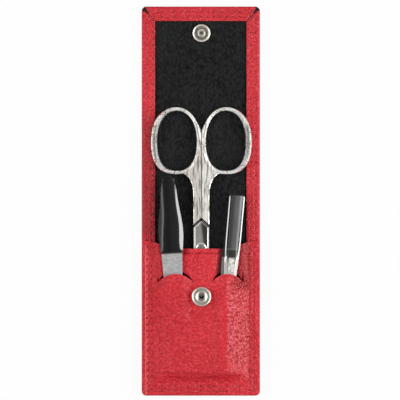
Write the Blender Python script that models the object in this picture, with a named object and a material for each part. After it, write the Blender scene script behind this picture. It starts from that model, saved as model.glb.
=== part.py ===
"""Manicure set case: a leather case with a press fastener, open and flat, with its three tools.

+X is right, +Y points from the pocket to the flap, +Z up from the table. The origin is at the
middle of the underside. The case lies open, the scissors drawn up as in use.
"""
import math

import bmesh
import bpy
from mathutils import Matrix, Vector

MM = 0.001

# The case: outer leather turned in over a board and a lining
case_width = 55.6 * MM
case_length = 183.0 * MM
case_corner = 2.2 * MM
leather = 1.0 * MM
turned_leather = 0.8 * MM
edge_round = 0.9 * MM
board = 0.4 * MM
lining = 0.5 * MM
layer_gap = 0.1 * MM
seat_gap = 0.3 * MM
side_turn = 6.3 * MM
end_turn = 6.8 * MM
overrun = 2.0 * MM

# The fold: the soft stretch that bends, below and above the crease
fold_below = 7.15 * MM
fold_above = 28.55 * MM
fold_joint = 0.3 * MM

# The press fastener
snap_x = 0.3 * MM
snap_from_end = 12.5 * MM
snap_below_slits = 6.4 * MM
snap_stack = 1.2 * MM
cap_radius = 5.0 * MM
cap_height = 0.6 * MM
cap_dome = 0.25 * MM
post_radius = 0.95 * MM
post_clearance = 0.1 * MM
post_reach = 0.8 * MM
stud_radius = 4.2 * MM
stud_flange = 0.7 * MM
stud_valley = 0.35 * MM
stud_neck_radius = 1.45 * MM
stud_head_radius = 1.8 * MM
stud_height = 2.5 * MM
stud_head = 0.5 * MM
stud_hole = 0.6 * MM
socket_radius = 4.55 * MM
socket_height = 2.1 * MM
socket_plate = 0.35 * MM
socket_mouth = 2.05 * MM
socket_chamber = 3.2 * MM
socket_roof = 0.5 * MM
socket_base_in = 0.65 * MM
socket_rim = 0.4 * MM
socket_dish = 0.2 * MM
eyelet_radius = 4.0 * MM
eyelet_flange = 0.35 * MM
eyelet_tube = 1.6 * MM
eyelet_bore = 1.1 * MM
eyelet_curl = 2.2 * MM
eyelet_rolled = 0.25 * MM
spring_wire = 0.15 * MM
spring_leg_x = 1.75 * MM
spring_leg_low = 2.2 * MM
spring_leg_high = 1.2 * MM

# The scissors, drawn up by lift from where they are stowed
scissors_x = 0.25 * MM
screw_over_mouth = 0.5 * MM
scissors_thick = 2.2 * MM
ring_middle_x = 11.87 * MM
ring_middle_y = 50.15 * MM
ring_half_x = 11.78 * MM
ring_half_y = 15.97 * MM
hole_middle_x = 11.55 * MM
hole_half_x = 9.25 * MM
hole_half_y = 13.9 * MM
split_half = 0.1 * MM
shank_half_top = 4.35 * MM
shank_half_low = 3.75 * MM
shank_flare_y = 29.5 * MM
shank_neck_y = 24.0 * MM
shoulder_apex_y = 13.2 * MM
shoulder_side_y = 9.9 * MM
plate_half = 3.55 * MM
plate_lap = 0.35 * MM
plate_step = 0.4 * MM
plate_chamfer = 0.7 * MM
plate_chamfer_deep = 0.3 * MM
neck_drop = 0.32 * MM
neck_reach = 1.2 * MM
ricasso_y = 3.4 * MM
blade_length = 23.7 * MM
blade_thin = 0.65 * MM
blade_heel = 1.0 * MM
blade_edge = 0.35 * MM
screw_radius = 1.1 * MM
screw_clearance = 0.1 * MM
screw_head_radius = 2.26 * MM
screw_head = 0.45 * MM
screw_rivet_radius = 1.7 * MM
screw_rivet = 0.7 * MM
screw_slot = 0.5 * MM
screw_slot_deep = 0.2 * MM

# The file
file_x_share = 0.4892
file_below_mouth = 1.6 * MM
file_tilt = math.radians(3.0)
file_over_scissors = 0.4 * MM
handle_length = 35.7 * MM
handle_top_half = 3.05 * MM
handle_widest_half = 5.8 * MM
handle_widest_y = 7.5 * MM
handle_low_half = 5.15 * MM
handle_thick = 2.8 * MM
handle_bevel_widest = 1.8 * MM
handle_bevel_deep = 1.2 * MM
handle_edge = 0.3 * MM
file_length = 54.0 * MM
file_half = 4.9 * MM
file_thick = 1.0 * MM
file_up = 0.6 * MM
tang_half = 2.2 * MM
tang_length = 18.0 * MM

# The tweezers
tweezers_x_share = 0.6151
tweezers_over_mouth = 24.9 * MM
tweezers_tilt = math.radians(-5.1)
tweezers_length = 80.0 * MM
tweezers_half = 3.6 * MM
arm_thick = 0.7 * MM
heel_gap = 0.1 * MM
heel_length = 8.0 * MM
heel_over_scissors = 0.7 * MM
bow_length = 28.0 * MM
bow_down = 0.5 * MM
bow_up = 0.7 * MM
rear_shift = 1.4 * MM
arm_bevel = 0.5 * MM
arm_corner = 0.7 * MM
facet_start = 27.0 * MM
facet_run = 4.0 * MM
facet = 1.5 * MM

# The pocket's front leather
panel_leather = 1.0 * MM
panel_inset = 0.5 * MM
pocket_deep = 69.2 * MM
mouth_ears = 3.7 * MM
mouth_level_half = 9.0 * MM
slits_from_end = 53.2 * MM
slit_rise = 4.3 * MM
slit_gape = 1.3 * MM
left_slit_out = 6.8 * MM
left_slit_in = 10.4 * MM
right_slit_in = 12.1 * MM
right_slit_out = 3.0 * MM
slit_open = 0.15 * MM
panel_foot = 5.7 * MM
panel_ramp = 5.8 * MM
panel_rest = 0.9 * MM
strip_drop = 2.2 * MM
span_sag = 0.3 * MM
snap_run = 1.6 * MM
snap_sink = 9.0 * MM
screw_under_eyelet = 0.25 * MM
arm_room = 0.2 * MM

# Small rounds and the distance at which points are joined
weld_distance = 0.001 * MM
shank_round = 0.3 * MM
plate_round = 0.12 * MM

# Shares of the sizes above
strip_fade_share = 0.4
taut_share = 0.7
gape_power = 0.6
facet_share = 0.45
upper_power = 2.1
lower_power = 2.45
section_power = 2.7
bevel_shares = ((0.0, 0.55), (0.22, 0.89), (0.42, 1.0), (0.67, 0.67), (0.88, 0.3), (1.0, 0.22))
handle_side_shares = ((0.33, 0.16), (0.66, 0.42), (0.88, 0.72))
blade_back_shares = ((0.92, 0.1), (0.93, 0.25), (0.8, 0.42), (0.62, 0.6), (0.4, 0.8), (0.19, 0.94))
blade_edge_shares = (0.96, 0.6)
file_tip_shares = ((1.0, 0.0), (0.93, 0.16), (0.86, 0.4), (0.7, 0.66), (0.46, 0.86), (0.2, 0.97))
arm_width_shares = ((0.0, 1.0), (0.28, 0.98), (0.38, 0.9), (0.46, 0.82), (0.75, 0.6), (1.0, 0.42))
arm_station_shares = (
    0.0, 0.0025, 0.009, 0.06, 0.12, 0.19, 0.26, 0.32, 0.36, 0.4, 0.45, 0.55, 0.7, 0.85, 0.97, 1.0,
)
web_angles = (-98, -110, -122, -134, -146, -158, -170)

# Worked out from the values above
half_width = case_width / 2
half_length = case_length / 2
board_z = leather + layer_gap
lining_z = board_z + board + layer_gap
lining_top = lining_z + lining
lip_z = lining_top + layer_gap
lip_top = lip_z + turned_leather
window_half = half_width - side_turn
window_end = half_length - end_turn
mouth_middle_y = -half_length + pocket_deep
mouth_side_y = mouth_middle_y + mouth_ears
slit_y = -half_length + slits_from_end
flap_snap_y = half_length - snap_from_end
pocket_snap_y = slit_y - snap_below_slits
crease_y = (flap_snap_y + pocket_snap_y) / 2
fold_low_y = crease_y - fold_below
fold_high_y = crease_y + fold_above
screw_y = mouth_middle_y + screw_over_mouth
file_x = -half_width * file_x_share
file_y = mouth_middle_y - file_below_mouth
tweezers_x = half_width * tweezers_x_share
tweezers_y = mouth_middle_y + tweezers_over_mouth
left_slit_low = file_x - left_slit_out
left_slit_high = file_x + left_slit_in
right_slit_low = tweezers_x - right_slit_in
right_slit_high = tweezers_x + right_slit_out
scissors_z = lip_top + seat_gap
scissors_top = scissors_z + scissors_thick
lap_z = scissors_z + (scissors_thick - layer_gap) / 2
screw_head_z = scissors_top - plate_step + layer_gap
screw_head_top = screw_head_z + screw_head
file_z = scissors_top + file_over_scissors
blade_z = file_z + file_up
tweezers_z = scissors_top + heel_over_scissors
panel_z = lip_top + layer_gap
middle_z = screw_head_top + screw_under_eyelet + eyelet_flange + layer_gap
file_dip_z = file_z - seat_gap - panel_leather
blade_dip_z = blade_z - seat_gap - panel_leather
arm_dip_z = tweezers_z - bow_down - arm_room - panel_leather
file_tab_z = blade_z + file_thick + seat_gap
front_arm_z = tweezers_z + arm_thick + heel_gap
arm_tab_z = front_arm_z + bow_up + arm_thick + arm_room
socket_z = middle_z + panel_leather + layer_gap
crease_z = (socket_z + socket_height + snap_stack + lip_z) / 2

# How finely the round forms are cut
ring_steps = 44
ring_section_steps = 10
turned_steps = 40
corner_steps = 4
edge_steps = 3
panel_steps = (5, 12, 4, 10, 5)
strip_steps = 6
tab_steps = 15
foot_steps = 3
handle_round_steps = 8


def clear_scene():
    for thing in list(bpy.data.objects):
        bpy.data.objects.remove(thing, do_unlink=True)


def finish(name, color, roughness, metallic):
    """A material in the piece's own colour."""
    made = bpy.data.materials.new(name)
    made.use_nodes = True
    shader = made.node_tree.nodes["Principled BSDF"]
    shader.inputs["Base Color"].default_value = (*color, 1.0)
    shader.inputs["Roughness"].default_value = roughness
    shader.inputs["Metallic"].default_value = metallic
    made.diffuse_color = (*color, 1.0)
    return made


def smooth(t):
    t = min(max(t, 0.0), 1.0)
    return t * t * (3.0 - 2.0 * t)


def mix(a, b, t):
    return a + (b - a) * t


def along(stations, at):
    """A value read from (place, value) stations, with a soft step from each to the next."""
    for (a, va), (b, vb) in zip(stations, stations[1:]):
        if at <= b:
            return mix(va, vb, smooth((at - a) / (b - a)))
    return stations[-1][1]


def taut(stations, at):
    """As along, but nearly straight between stations, as leather is when it is pulled tight."""
    for (a, va), (b, vb) in zip(stations, stations[1:]):
        if at <= b:
            t = (at - a) / (b - a)
            return mix(va, vb, mix(smooth(t), t, taut_share))
    return stations[-1][1]


def new_object(name, bm, material, smooth_angle=None):
    bmesh.ops.recalc_face_normals(bm, faces=bm.faces)
    mesh = bpy.data.meshes.new(name)
    bm.to_mesh(mesh)
    bm.free()
    made = bpy.data.objects.new(name, mesh)
    bpy.context.scene.collection.objects.link(made)
    mesh.materials.append(material)
    if smooth_angle is not None:
        mesh.shade_smooth()
        mesh.set_sharp_from_angle(angle=math.radians(smooth_angle))
    return made


def loft(name, loops, material, smooth_angle=None, closed=False):
    """A closed body through loops of points; closed joins the last loop to the first."""
    bm = bmesh.new()
    rings = [[bm.verts.new(p) for p in loop] for loop in loops]
    pairs = list(zip(rings, rings[1:]))
    if closed:
        pairs.append((rings[-1], rings[0]))
    for low, high in pairs:
        for k in range(len(low)):
            n = (k + 1) % len(low)
            bm.faces.new((low[k], low[n], high[n], high[k]))
    if not closed:
        bm.faces.new(reversed(rings[0]))
        bm.faces.new(rings[-1])
    return new_object(name, bm, material, smooth_angle)


def inset_outline(outline, inset):
    """A convex outline drawn in by the same distance all round."""
    points = [Vector(p) for p in outline]
    if sum(a.cross(b) for a, b in zip(points, points[1:] + points[:1])) < 0:
        inset = -inset
    made = []
    for before, at, after in zip(points[-1:] + points[:-1], points, points[1:] + points[:1]):
        u = (at - before).normalized()
        v = (after - at).normalized()
        turn = Vector((-u.y - v.y, u.x + v.x))
        made.append(at + turn * (inset / (1.0 + u.dot(v))))
    return made


def chamfered(name, outline, low, high, chamfer, deep, material):
    """A plate with a wide flat chamfer round its upper face."""
    rows = ((0.0, low), (0.0, high - deep), (chamfer, high))
    loops = [[Vector((x, y, z)) for x, y in inset_outline(outline, inset)] for inset, z in rows]
    return loft(name, loops, material)


def prism(name, outline, low, high, material, round_edges=0.0, stays_sharp=None):
    """An outline in X and Y, given a height, its edges rounded off but for those that stay sharp."""
    loops = [[Vector((x, y, z)) for x, y in outline] for z in (low, high)]
    made = loft(name, loops, material)
    if round_edges:
        bevel = made.modifiers.new("rounded_edges", "BEVEL")
        bevel.width = round_edges
        bevel.segments = 2
        bevel.limit_method = "ANGLE"
        bevel.angle_limit = math.radians(40)
    if stays_sharp:
        bevel.limit_method = "WEIGHT"
        weights = made.data.attributes.new("bevel_weight_edge", "FLOAT", "EDGE")
        for edge, weight in zip(made.data.edges, weights.data):
            a, b = (made.data.vertices[k].co for k in edge.vertices)
            flat = abs(a.z - b.z) < weld_distance
            weight.value = float(flat and not (stays_sharp(a) and stays_sharp(b)))
    return made


def turned(name, profile, material, steps=turned_steps, smooth_angle=35):
    """A closed profile of (radius, height) points, turned about Z. Radius 0 ends are on the axis."""
    bm = bmesh.new()
    points = [bm.verts.new((r, 0.0, z)) for r, z in profile]
    edges = [bm.edges.new(pair) for pair in zip(points, points[1:])]
    if profile[0][0] > 0:
        edges.append(bm.edges.new((points[-1], points[0])))
    bmesh.ops.spin(
        bm, geom=points + edges, cent=(0, 0, 0), axis=(0, 0, 1), angle=math.tau, steps=steps,
        use_merge=True,
    )
    bmesh.ops.remove_doubles(bm, verts=bm.verts, dist=weld_distance)
    return new_object(name, bm, material, smooth_angle)


def as_cutter(thing):
    thing.hide_render = True
    thing.display_type = "WIRE"
    return thing


def combine(target, other, operation):
    step = target.modifiers.new(operation.lower() + "_" + other.name, "BOOLEAN")
    step.operation = operation
    step.object = as_cutter(other)
    return target


def move_mesh(thing, matrix):
    thing.data.transform(matrix)
    return thing


def carried_by(axis_point, things, name, turn=0.0):
    """An empty on the joint's axis, which carries the pieces of one moving body."""
    pivot = bpy.data.objects.new(name, None)
    pivot.empty_display_size = seat_gap
    pivot.location = axis_point
    pivot.rotation_euler = (0.0, 0.0, turn)
    bpy.context.scene.collection.objects.link(pivot)
    bpy.context.view_layer.update()
    for thing in things:
        thing.parent = pivot
        thing.matrix_parent_inverse = pivot.matrix_world.inverted()
    return pivot


def plan_loop(half_x, y_low, y_high, radius_low, radius_high, z):
    """A rectangle seen from above, with its low and its high corners rounded."""
    points = []
    for sx, y, radius, first in (
        (1, y_low, radius_low, -90), (1, y_high, radius_high, 0),
        (-1, y_high, radius_high, 90), (-1, y_low, radius_low, 180),
    ):
        if radius <= 0:
            points.append(Vector((sx * half_x, y, z)))
            continue
        inward = 1 if y == y_low else -1
        for k in range(corner_steps + 1):
            a = math.radians(first + 90 * k / corner_steps)
            x = sx * (half_x - radius) + radius * math.cos(a)
            points.append(Vector((x, y + inward * radius + radius * math.sin(a), z)))
    return points


def edge_profile():
    """Insets and heights up the folded edge of the leather."""
    rows = []
    for k in range(edge_steps + 1):
        a = math.radians(90 * k / edge_steps)
        rows.append((edge_round * (1 - math.sin(a)), edge_round * (1 - math.cos(a))))
    return rows + [(inset, lip_top - z) for inset, z in reversed(rows)]


def turned_leather_shell(name, y_low, y_high, material):
    """Outer leather whose edges are turned in over the board and the lining.

    An end at the case's own length is turned in and rounded; any other end is cut straight.
    """
    low_end = y_low <= -half_length
    high_end = y_high >= half_length
    loops = []
    for inset, z in edge_profile():
        loops.append(plan_loop(
            half_width - inset,
            y_low + inset * low_end, y_high - inset * high_end,
            case_corner * low_end, case_corner * high_end, z,
        ))
    shell = loft(name, loops, material, smooth_angle=40)
    slot = prism(
        name + "_slot",
        rectangle(half_width - leather,
                  y_low + (leather if low_end else -overrun),
                  y_high - (leather if high_end else -overrun)),
        leather, lip_z, material,
    )
    window = prism(
        name + "_window",
        rectangle(window_half,
                  -window_end if low_end else y_low - overrun,
                  window_end if high_end else y_high + overrun),
        lining_z, lip_top + overrun, material,
    )
    combine(shell, slot, "DIFFERENCE")
    combine(shell, window, "DIFFERENCE")
    return shell


def rectangle(half_x, y_low, y_high, x=0.0):
    return [(x - half_x, y_low), (x + half_x, y_low), (x + half_x, y_high), (x - half_x, y_high)]


def inner_sheet(name, y_low, y_high, z, thick, material, hole=False):
    """Board or lining, lying in the slot of the turned leather."""
    room = leather + layer_gap + layer_gap
    low = max(y_low, -half_length + room)
    high = min(y_high, half_length - room)
    sheet = prism(name, rectangle(half_width - room, low, high), z, z + thick, material)
    if hole:
        combine(sheet, post_hole(name + "_hole", material), "DIFFERENCE")
    return sheet


def post_hole(name, material):
    cutter = turned(
        name,
        [(0.0, -overrun), (post_radius + post_clearance, -overrun),
         (post_radius + post_clearance, lip_top + overrun), (0.0, lip_top + overrun)],
        material,
    )
    return move_mesh(cutter, Matrix.Translation((snap_x, flap_snap_y, 0.0)))


# Leather, boards and linings

def make_back(red, card, black):
    top = fold_low_y - fold_joint / 2
    return [
        turned_leather_shell("back_leather", -half_length, top, red),
        inner_sheet("back_board", -half_length, top, board_z, board, card),
        inner_sheet("back_lining", -half_length, top, lining_z, lining, black),
    ]


def make_fold(red, black):
    low = fold_low_y + fold_joint / 2
    high = fold_high_y - fold_joint / 2
    return [
        turned_leather_shell("fold_leather", low, high, red),
        inner_sheet("fold_lining", low, high, lining_z, lining, black),
    ]


def make_flap(red, card, black):
    low = fold_high_y + fold_joint / 2
    shell = turned_leather_shell("flap_leather", low, half_length, red)
    seat = turned(
        "cap_seat",
        [(0.0, -overrun), (cap_radius + post_clearance, -overrun),
         (cap_radius + post_clearance, cap_height + layer_gap / 2), (0.0, cap_height + layer_gap / 2)],
        red,
    )
    move_mesh(seat, Matrix.Translation((snap_x, flap_snap_y, 0.0)))
    combine(shell, seat, "DIFFERENCE")
    combine(shell, post_hole("flap_leather_hole", red), "DIFFERENCE")
    return [
        shell,
        inner_sheet("flap_board", low, half_length, board_z, board, card, hole=True),
        inner_sheet("flap_lining", low, half_length, lining_z, lining, black, hole=True),
    ]


# Pocket front

def file_middle(y):
    return file_x - (y - file_y) * math.tan(file_tilt)


def tweezers_middle(y):
    return tweezers_x - (y - tweezers_y) * math.tan(tweezers_tilt)


def mouth_y(x):
    run = half_width - panel_inset - mouth_level_half
    return mix(mouth_middle_y, mouth_side_y, smooth((abs(x) - mouth_level_half) / run))


def slit_arc_y(x):
    """Height of the curved slits over the line of their ends."""
    for low, high in ((left_slit_low, left_slit_high), (right_slit_low, right_slit_high)):
        if low < x < high:
            half = (high - low) / 2
            radius = (half * half + slit_rise * slit_rise) / (2 * slit_rise)
            off = x - (low + high) / 2
            return slit_y + slit_rise - radius + math.sqrt(radius * radius - off * off)
    return slit_y


def in_slit(x):
    return left_slit_low < x < left_slit_high or right_slit_low < x < right_slit_high


def gape(x):
    """How far the strip's edge is drawn back from the slit, so that the slit stands open."""
    for low, high in ((left_slit_low, left_slit_high), (right_slit_low, right_slit_high)):
        if low < x < high:
            share = (x - low) / (high - low)
            return slit_gape * (4 * share * (1 - share)) ** gape_power
    return 0.0


def file_cover_half(y):
    """Half the width that the leather over the blade needs, narrower towards the tip."""
    down = (file_y - y) / file_length
    narrow = along([(share, width) for width, share in file_tip_shares], down)
    return file_half * narrow + seat_gap


def arm_cover_half(y):
    return arm_half(tweezers_y - y) + seat_gap


def band_height(x, y):
    """Underside of the strip above the slits, which goes behind the file and the tweezers."""
    file_at = file_middle(y)
    arm_at = tweezers_middle(y)
    foot = window_half + panel_rest
    plate = plate_half + blade_heel + seat_gap
    arm_left = arm_at - tweezers_half - rear_shift - seat_gap
    past_handle = smooth((file_y - y) / snap_run)
    file_dip = mix(file_dip_z, blade_dip_z, past_handle)
    file_reach = mix(handle_widest_half, file_half, past_handle)
    return along((
        (-half_width, panel_z), (-foot, panel_z),
        (file_at - file_reach - seat_gap, file_dip), (file_at + file_reach, file_dip),
        (-plate, middle_z), (arm_left - strip_drop, middle_z), (arm_left, arm_dip_z),
        (arm_at + tweezers_half + blade_heel, arm_dip_z),
        (foot, panel_z), (half_width, panel_z),
    ), x)


def tab_height(x, y):
    """Underside of the leather below the slits, which goes over the file and the tweezers."""
    file_at = file_middle(y)
    arm_at = tweezers_middle(y)
    foot = window_half + panel_rest
    flat = smooth((slit_y - y) / snap_run)
    level = socket_radius + seat_gap
    sunk = smooth((y - pocket_snap_y + level + snap_sink) / snap_sink)
    middle = mix(file_tab_z - span_sag, middle_z, sunk)
    file_cover = file_cover_half(y)
    arm_cover = arm_cover_half(y)
    height = taut((
        (-half_width, panel_z), (-foot, panel_z),
        (file_at - file_cover, file_tab_z), (file_at + file_cover, file_tab_z),
        (mix(left_slit_high, snap_x - level, flat), middle),
        (mix(right_slit_low, snap_x + level, flat), middle),
        (arm_at - arm_cover, arm_tab_z), (arm_at + arm_cover, arm_tab_z),
        (foot, panel_z), (half_width, panel_z),
    ), x)
    foot_y = -half_length + panel_inset + panel_foot
    return mix(panel_z, height, smooth((y - foot_y) / panel_ramp))


def panel_columns():
    edges = (
        -half_width + panel_inset, left_slit_low, left_slit_high,
        right_slit_low, right_slit_high, half_width - panel_inset,
    )
    columns = [edges[0]]
    for low, high, cells in zip(edges, edges[1:], panel_steps):
        columns += [mix(low, high, (k + 1) / cells) for k in range(cells)]
    return columns


def make_front_panel(red):
    """One sheet: rows from the mouth to the slits, and rows from the slits to the bottom seam.

    Inside a slit the two sets of rows part: the strip goes under the tool, the tab over it.
    """
    bm = bmesh.new()
    columns = panel_columns()
    bottom = -half_length + panel_inset
    corner = case_corner - panel_inset
    tabs = []
    for x in columns:
        start = slit_arc_y(x) - slit_open * in_slit(x)
        heights = [mix(start, bottom + corner, k / tab_steps) for k in range(tab_steps + 1)]
        heights += [bottom + corner * (1 - (k + 1) / foot_steps) for k in range(foot_steps)]
        column = []
        for y in heights:
            short = max(bottom + corner - y, 0.0)
            inset = corner - math.sqrt(max(corner * corner - short * short, 0.0))
            reach = half_width - panel_inset - inset
            column.append(bm.verts.new((min(max(x, -reach), reach), y, tab_height(x, y))))
        tabs.append(column)
    strips = []
    for x, tab in zip(columns, tabs):
        start = slit_arc_y(x) + gape(x)
        top = mouth_y(x)
        column = [bm.verts.new((x, start, band_height(x, start)))] if in_slit(x) else [tab[0]]
        for k in range(strip_steps):
            share = (k + 1) / strip_steps
            y = mix(start, top, share)
            z = band_height(x, y)
            if not in_slit(x):
                z = mix(tab_height(x, y), z, smooth(share / strip_fade_share))
            column.append(bm.verts.new((x, y, z)))
        strips.append(column)
    for k in range(len(columns) - 1):
        a, b = tabs[k], tabs[k + 1]
        for n in range(len(a) - 1):
            bm.faces.new((a[n], a[n + 1], b[n + 1], b[n]))
        a, b = strips[k], strips[k + 1]
        for n in range(len(a) - 1):
            bm.faces.new((a[n], b[n], b[n + 1], a[n + 1]))
    panel = new_object("front_panel", bm, red, smooth_angle=50)
    if sum((f.normal.z for f in panel.data.polygons), 0.0) < 0:
        panel.data.flip_normals()
    thick = panel.modifiers.new("leather", "SOLIDIFY")
    thick.thickness = panel_leather
    thick.offset = 1.0
    hole = turned(
        "panel_hole",
        [(0.0, middle_z - overrun), (eyelet_tube + post_clearance, middle_z - overrun),
         (eyelet_tube + post_clearance, socket_z + overrun), (0.0, socket_z + overrun)],
        red,
    )
    move_mesh(hole, Matrix.Translation((snap_x, pocket_snap_y, 0.0)))
    return combine(panel, hole, "DIFFERENCE")


# Press fastener

def make_cap(nickel):
    """Cap on the flap's outside, pressed flush into the leather, with its post."""
    top = lip_z + post_reach
    cap = turned("flap_snap_cap", [
        (0.0, 0.0), (cap_radius * 0.5, cap_dome * 0.25), (cap_radius * 0.85, cap_dome * 0.8),
        (cap_radius, cap_dome * 1.4), (cap_radius, cap_height), (post_radius, cap_height),
        (post_radius, top - layer_gap), (post_radius - layer_gap, top), (0.0, top),
    ], nickel)
    return place_turned(cap, flap_snap_y)


def place_turned(thing, y):
    thing.location = (snap_x, y, 0.0)
    return thing


def make_stud(nickel):
    low = lip_z
    flange = low + stud_flange
    valley = low + stud_valley
    top = low + stud_height
    bore = post_radius + layer_gap
    rim = stud_flange / 2
    profile = [(bore, low), (stud_radius - rim, low)]
    for k in range(1, 6):
        a = math.radians(-90 + 180 * k / 6)
        profile.append((stud_radius - rim + rim * math.cos(a), low + rim + rim * math.sin(a)))
    profile += [
        (stud_radius - rim, flange), (stud_radius - 2 * rim, flange - layer_gap),
        (stud_radius - 2.6 * rim, valley), (stud_neck_radius + rim, valley),
        (stud_neck_radius, valley + layer_gap), (stud_neck_radius, top - stud_head),
        (stud_head_radius, top - stud_head * 0.6), (stud_head_radius, top - stud_head * 0.3),
        (stud_head_radius - layer_gap, top - stud_head * 0.1), (stud_neck_radius, top),
        (stud_hole, top), (stud_hole, low + post_reach + layer_gap),
        (bore, low + post_reach + layer_gap),
    ]
    return place_turned(turned("flap_snap_stud", profile, nickel), flap_snap_y)


def make_socket(nickel):
    low = socket_z
    top = low + socket_height
    tube = eyelet_tube + post_clearance
    floor = low + socket_plate
    roof = top - socket_roof
    crest = socket_radius - socket_rim
    lip = socket_mouth + socket_rim / 2
    profile = [
        (tube, low), (socket_radius - socket_base_in, low),
        (socket_radius - layer_gap, low + 2 * layer_gap), (socket_radius, low + socket_plate),
        (socket_radius, top - socket_rim), (socket_radius - layer_gap, top - layer_gap),
        (crest, top), (crest - socket_rim * 0.6, top - layer_gap / 2),
        (crest - socket_rim, top - socket_dish), (lip + socket_rim, top - socket_dish),
        (lip + layer_gap, top - layer_gap / 2), (lip, top), (socket_mouth, top - layer_gap),
        (socket_mouth, roof), (socket_chamber, roof), (socket_chamber, floor), (tube, floor),
    ]
    return place_turned(turned("pocket_snap_socket", profile, nickel), pocket_snap_y)


def make_eyelet(nickel):
    low = middle_z - layer_gap - eyelet_flange
    flange = low + eyelet_flange
    curl = socket_z + socket_plate + layer_gap / 2
    profile = [
        (eyelet_bore, low), (eyelet_radius - layer_gap, low), (eyelet_radius, low + layer_gap),
        (eyelet_radius, flange), (eyelet_tube, flange), (eyelet_tube, curl),
        (eyelet_curl, curl), (eyelet_curl, curl + eyelet_rolled),
        (eyelet_bore, curl + eyelet_rolled),
    ]
    return place_turned(turned("pocket_snap_eyelet", profile, nickel), pocket_snap_y)


def make_spring(steel):
    """Hairpin wire in the socket: its two legs grip the neck of the stud."""
    z = socket_z + socket_height - socket_roof - layer_gap - spring_wire
    points = [(-spring_leg_x, -spring_leg_low), (-spring_leg_x, 0.0)]
    for k in range(9):
        a = math.radians(180 - 180 * k / 8)
        points.append((spring_leg_x * math.cos(a), spring_leg_high + spring_leg_x * math.sin(a) * 0.85))
    points += [(spring_leg_x, 0.0), (spring_leg_x, -spring_leg_low)]
    wire = bpy.data.curves.new("socket_spring", "CURVE")
    wire.dimensions = "3D"
    wire.bevel_depth = spring_wire
    wire.bevel_resolution = 2
    wire.use_fill_caps = True
    line = wire.splines.new("POLY")
    line.points.add(len(points) - 1)
    for point, (x, y) in zip(line.points, points):
        point.co = (x, y, z, 1.0)
    made = bpy.data.objects.new("socket_spring", wire)
    bpy.context.scene.collection.objects.link(made)
    wire.materials.append(steel)
    return place_turned(made, pocket_snap_y)


# Scissors, modelled round their screw

def oval(middle_x, half_x, half_y, angle):
    """A finger ring's outline: rounder above, squarer towards the shank."""
    power = 2 / (upper_power if math.sin(angle) > 0 else lower_power)
    c, s = math.cos(angle), math.sin(angle)
    x = middle_x + half_x * math.copysign(abs(c) ** power, c)
    return Vector((x, ring_middle_y + half_y * math.copysign(abs(s) ** power, s), 0.0))


def ring_ends(angle):
    return (
        oval(ring_middle_x, ring_half_x, ring_half_y, angle),
        oval(hole_middle_x, hole_half_x, hole_half_y, angle),
    )


def make_ring(name, side, steel):
    """The finger ring: an oval section swept between the outer and the inner outline."""
    middle_z_here = scissors_z + scissors_thick / 2
    power = 2 / section_power
    loops = []
    for k in range(ring_steps):
        outer, inner = ring_ends(math.tau * k / ring_steps)
        middle = (outer + inner) / 2
        across = (outer - inner) / 2
        loop = []
        for n in range(ring_section_steps):
            a = math.tau * (n + 0.5) / ring_section_steps
            c, s = math.cos(a), math.sin(a)
            p = middle + across * math.copysign(abs(c) ** power, c)
            z = middle_z_here + scissors_thick / 2 * math.copysign(abs(s) ** power, s)
            loop.append(Vector((side * p.x, p.y, z)))
        loops.append(loop)
    return loft(name, loops, steel, smooth_angle=50, closed=True)


def wire_middle(angle):
    outer, inner = ring_ends(math.radians(angle))
    return ((outer.x + inner.x) / 2, (outer.y + inner.y) / 2)


def shank_outline():
    """Shank and web of the half whose ring is at +X, from the shoulder up into the ring."""
    ring_low = ring_middle_y - ring_half_y
    outline = [
        (split_half, shoulder_apex_y),
        (shank_half_low, shoulder_side_y),
        (shank_half_low, shank_neck_y),
        (mix(shank_half_low, shank_half_top, 0.35), mix(shank_neck_y, shank_flare_y, 0.6)),
        (shank_half_top, shank_flare_y),
        (shank_half_top + 0.35 * plate_half, mix(shank_flare_y, ring_low, 0.62)),
        (shank_half_top + 0.85 * plate_half, mix(shank_flare_y, ring_low, 0.98)),
    ]
    outline += [wire_middle(a) for a in web_angles]
    outline += [(split_half, ring_middle_y - 0.1 * ring_half_y)]
    return outline


def plate_outline():
    """The lapped plate, from the blades up to just short of the two shoulders."""
    return [
        (-plate_half, shoulder_side_y - plate_lap),
        (-plate_half, -ricasso_y),
        (-plate_half * 0.93, -ricasso_y * 1.6),
        (blade_heel, -ricasso_y * 1.6),
        (plate_half * 0.85, -ricasso_y),
        (plate_half, -ricasso_y * 0.4),
        (plate_half, shoulder_side_y - plate_lap),
        (0.0, shoulder_apex_y - 1.6 * plate_lap),
    ]


def neck_outline():
    """The lower step that joins the plate to its own shank, under the gap at the shoulder."""
    return [
        (split_half + plate_lap, shoulder_apex_y - neck_reach),
        (plate_half - plate_lap, shoulder_side_y - neck_reach),
        (plate_half - plate_lap, shoulder_side_y + neck_reach),
        (split_half + plate_lap, shoulder_apex_y + neck_reach),
    ]


def blade_outline():
    """The blade crosses to the other side of the screw and runs to the tip."""
    outline = [(-plate_half * across, -blade_length * down) for across, down in blade_back_shares]
    outline += [(0.0, -blade_length)]
    outline += [(blade_edge, -blade_length * down) for down in blade_edge_shares]
    outline += [
        (blade_heel, -ricasso_y * 1.5),
        (blade_heel, -ricasso_y),
    ]
    return outline


def mirrored(outline, side):
    return [(side * x, y) for x, y in outline]


def split_or_shoulder(point):
    """Edges where the two halves meet: the split between the shanks, and the shoulders."""
    return abs(point.x) < split_half + weld_distance or point.y < shoulder_apex_y


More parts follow.
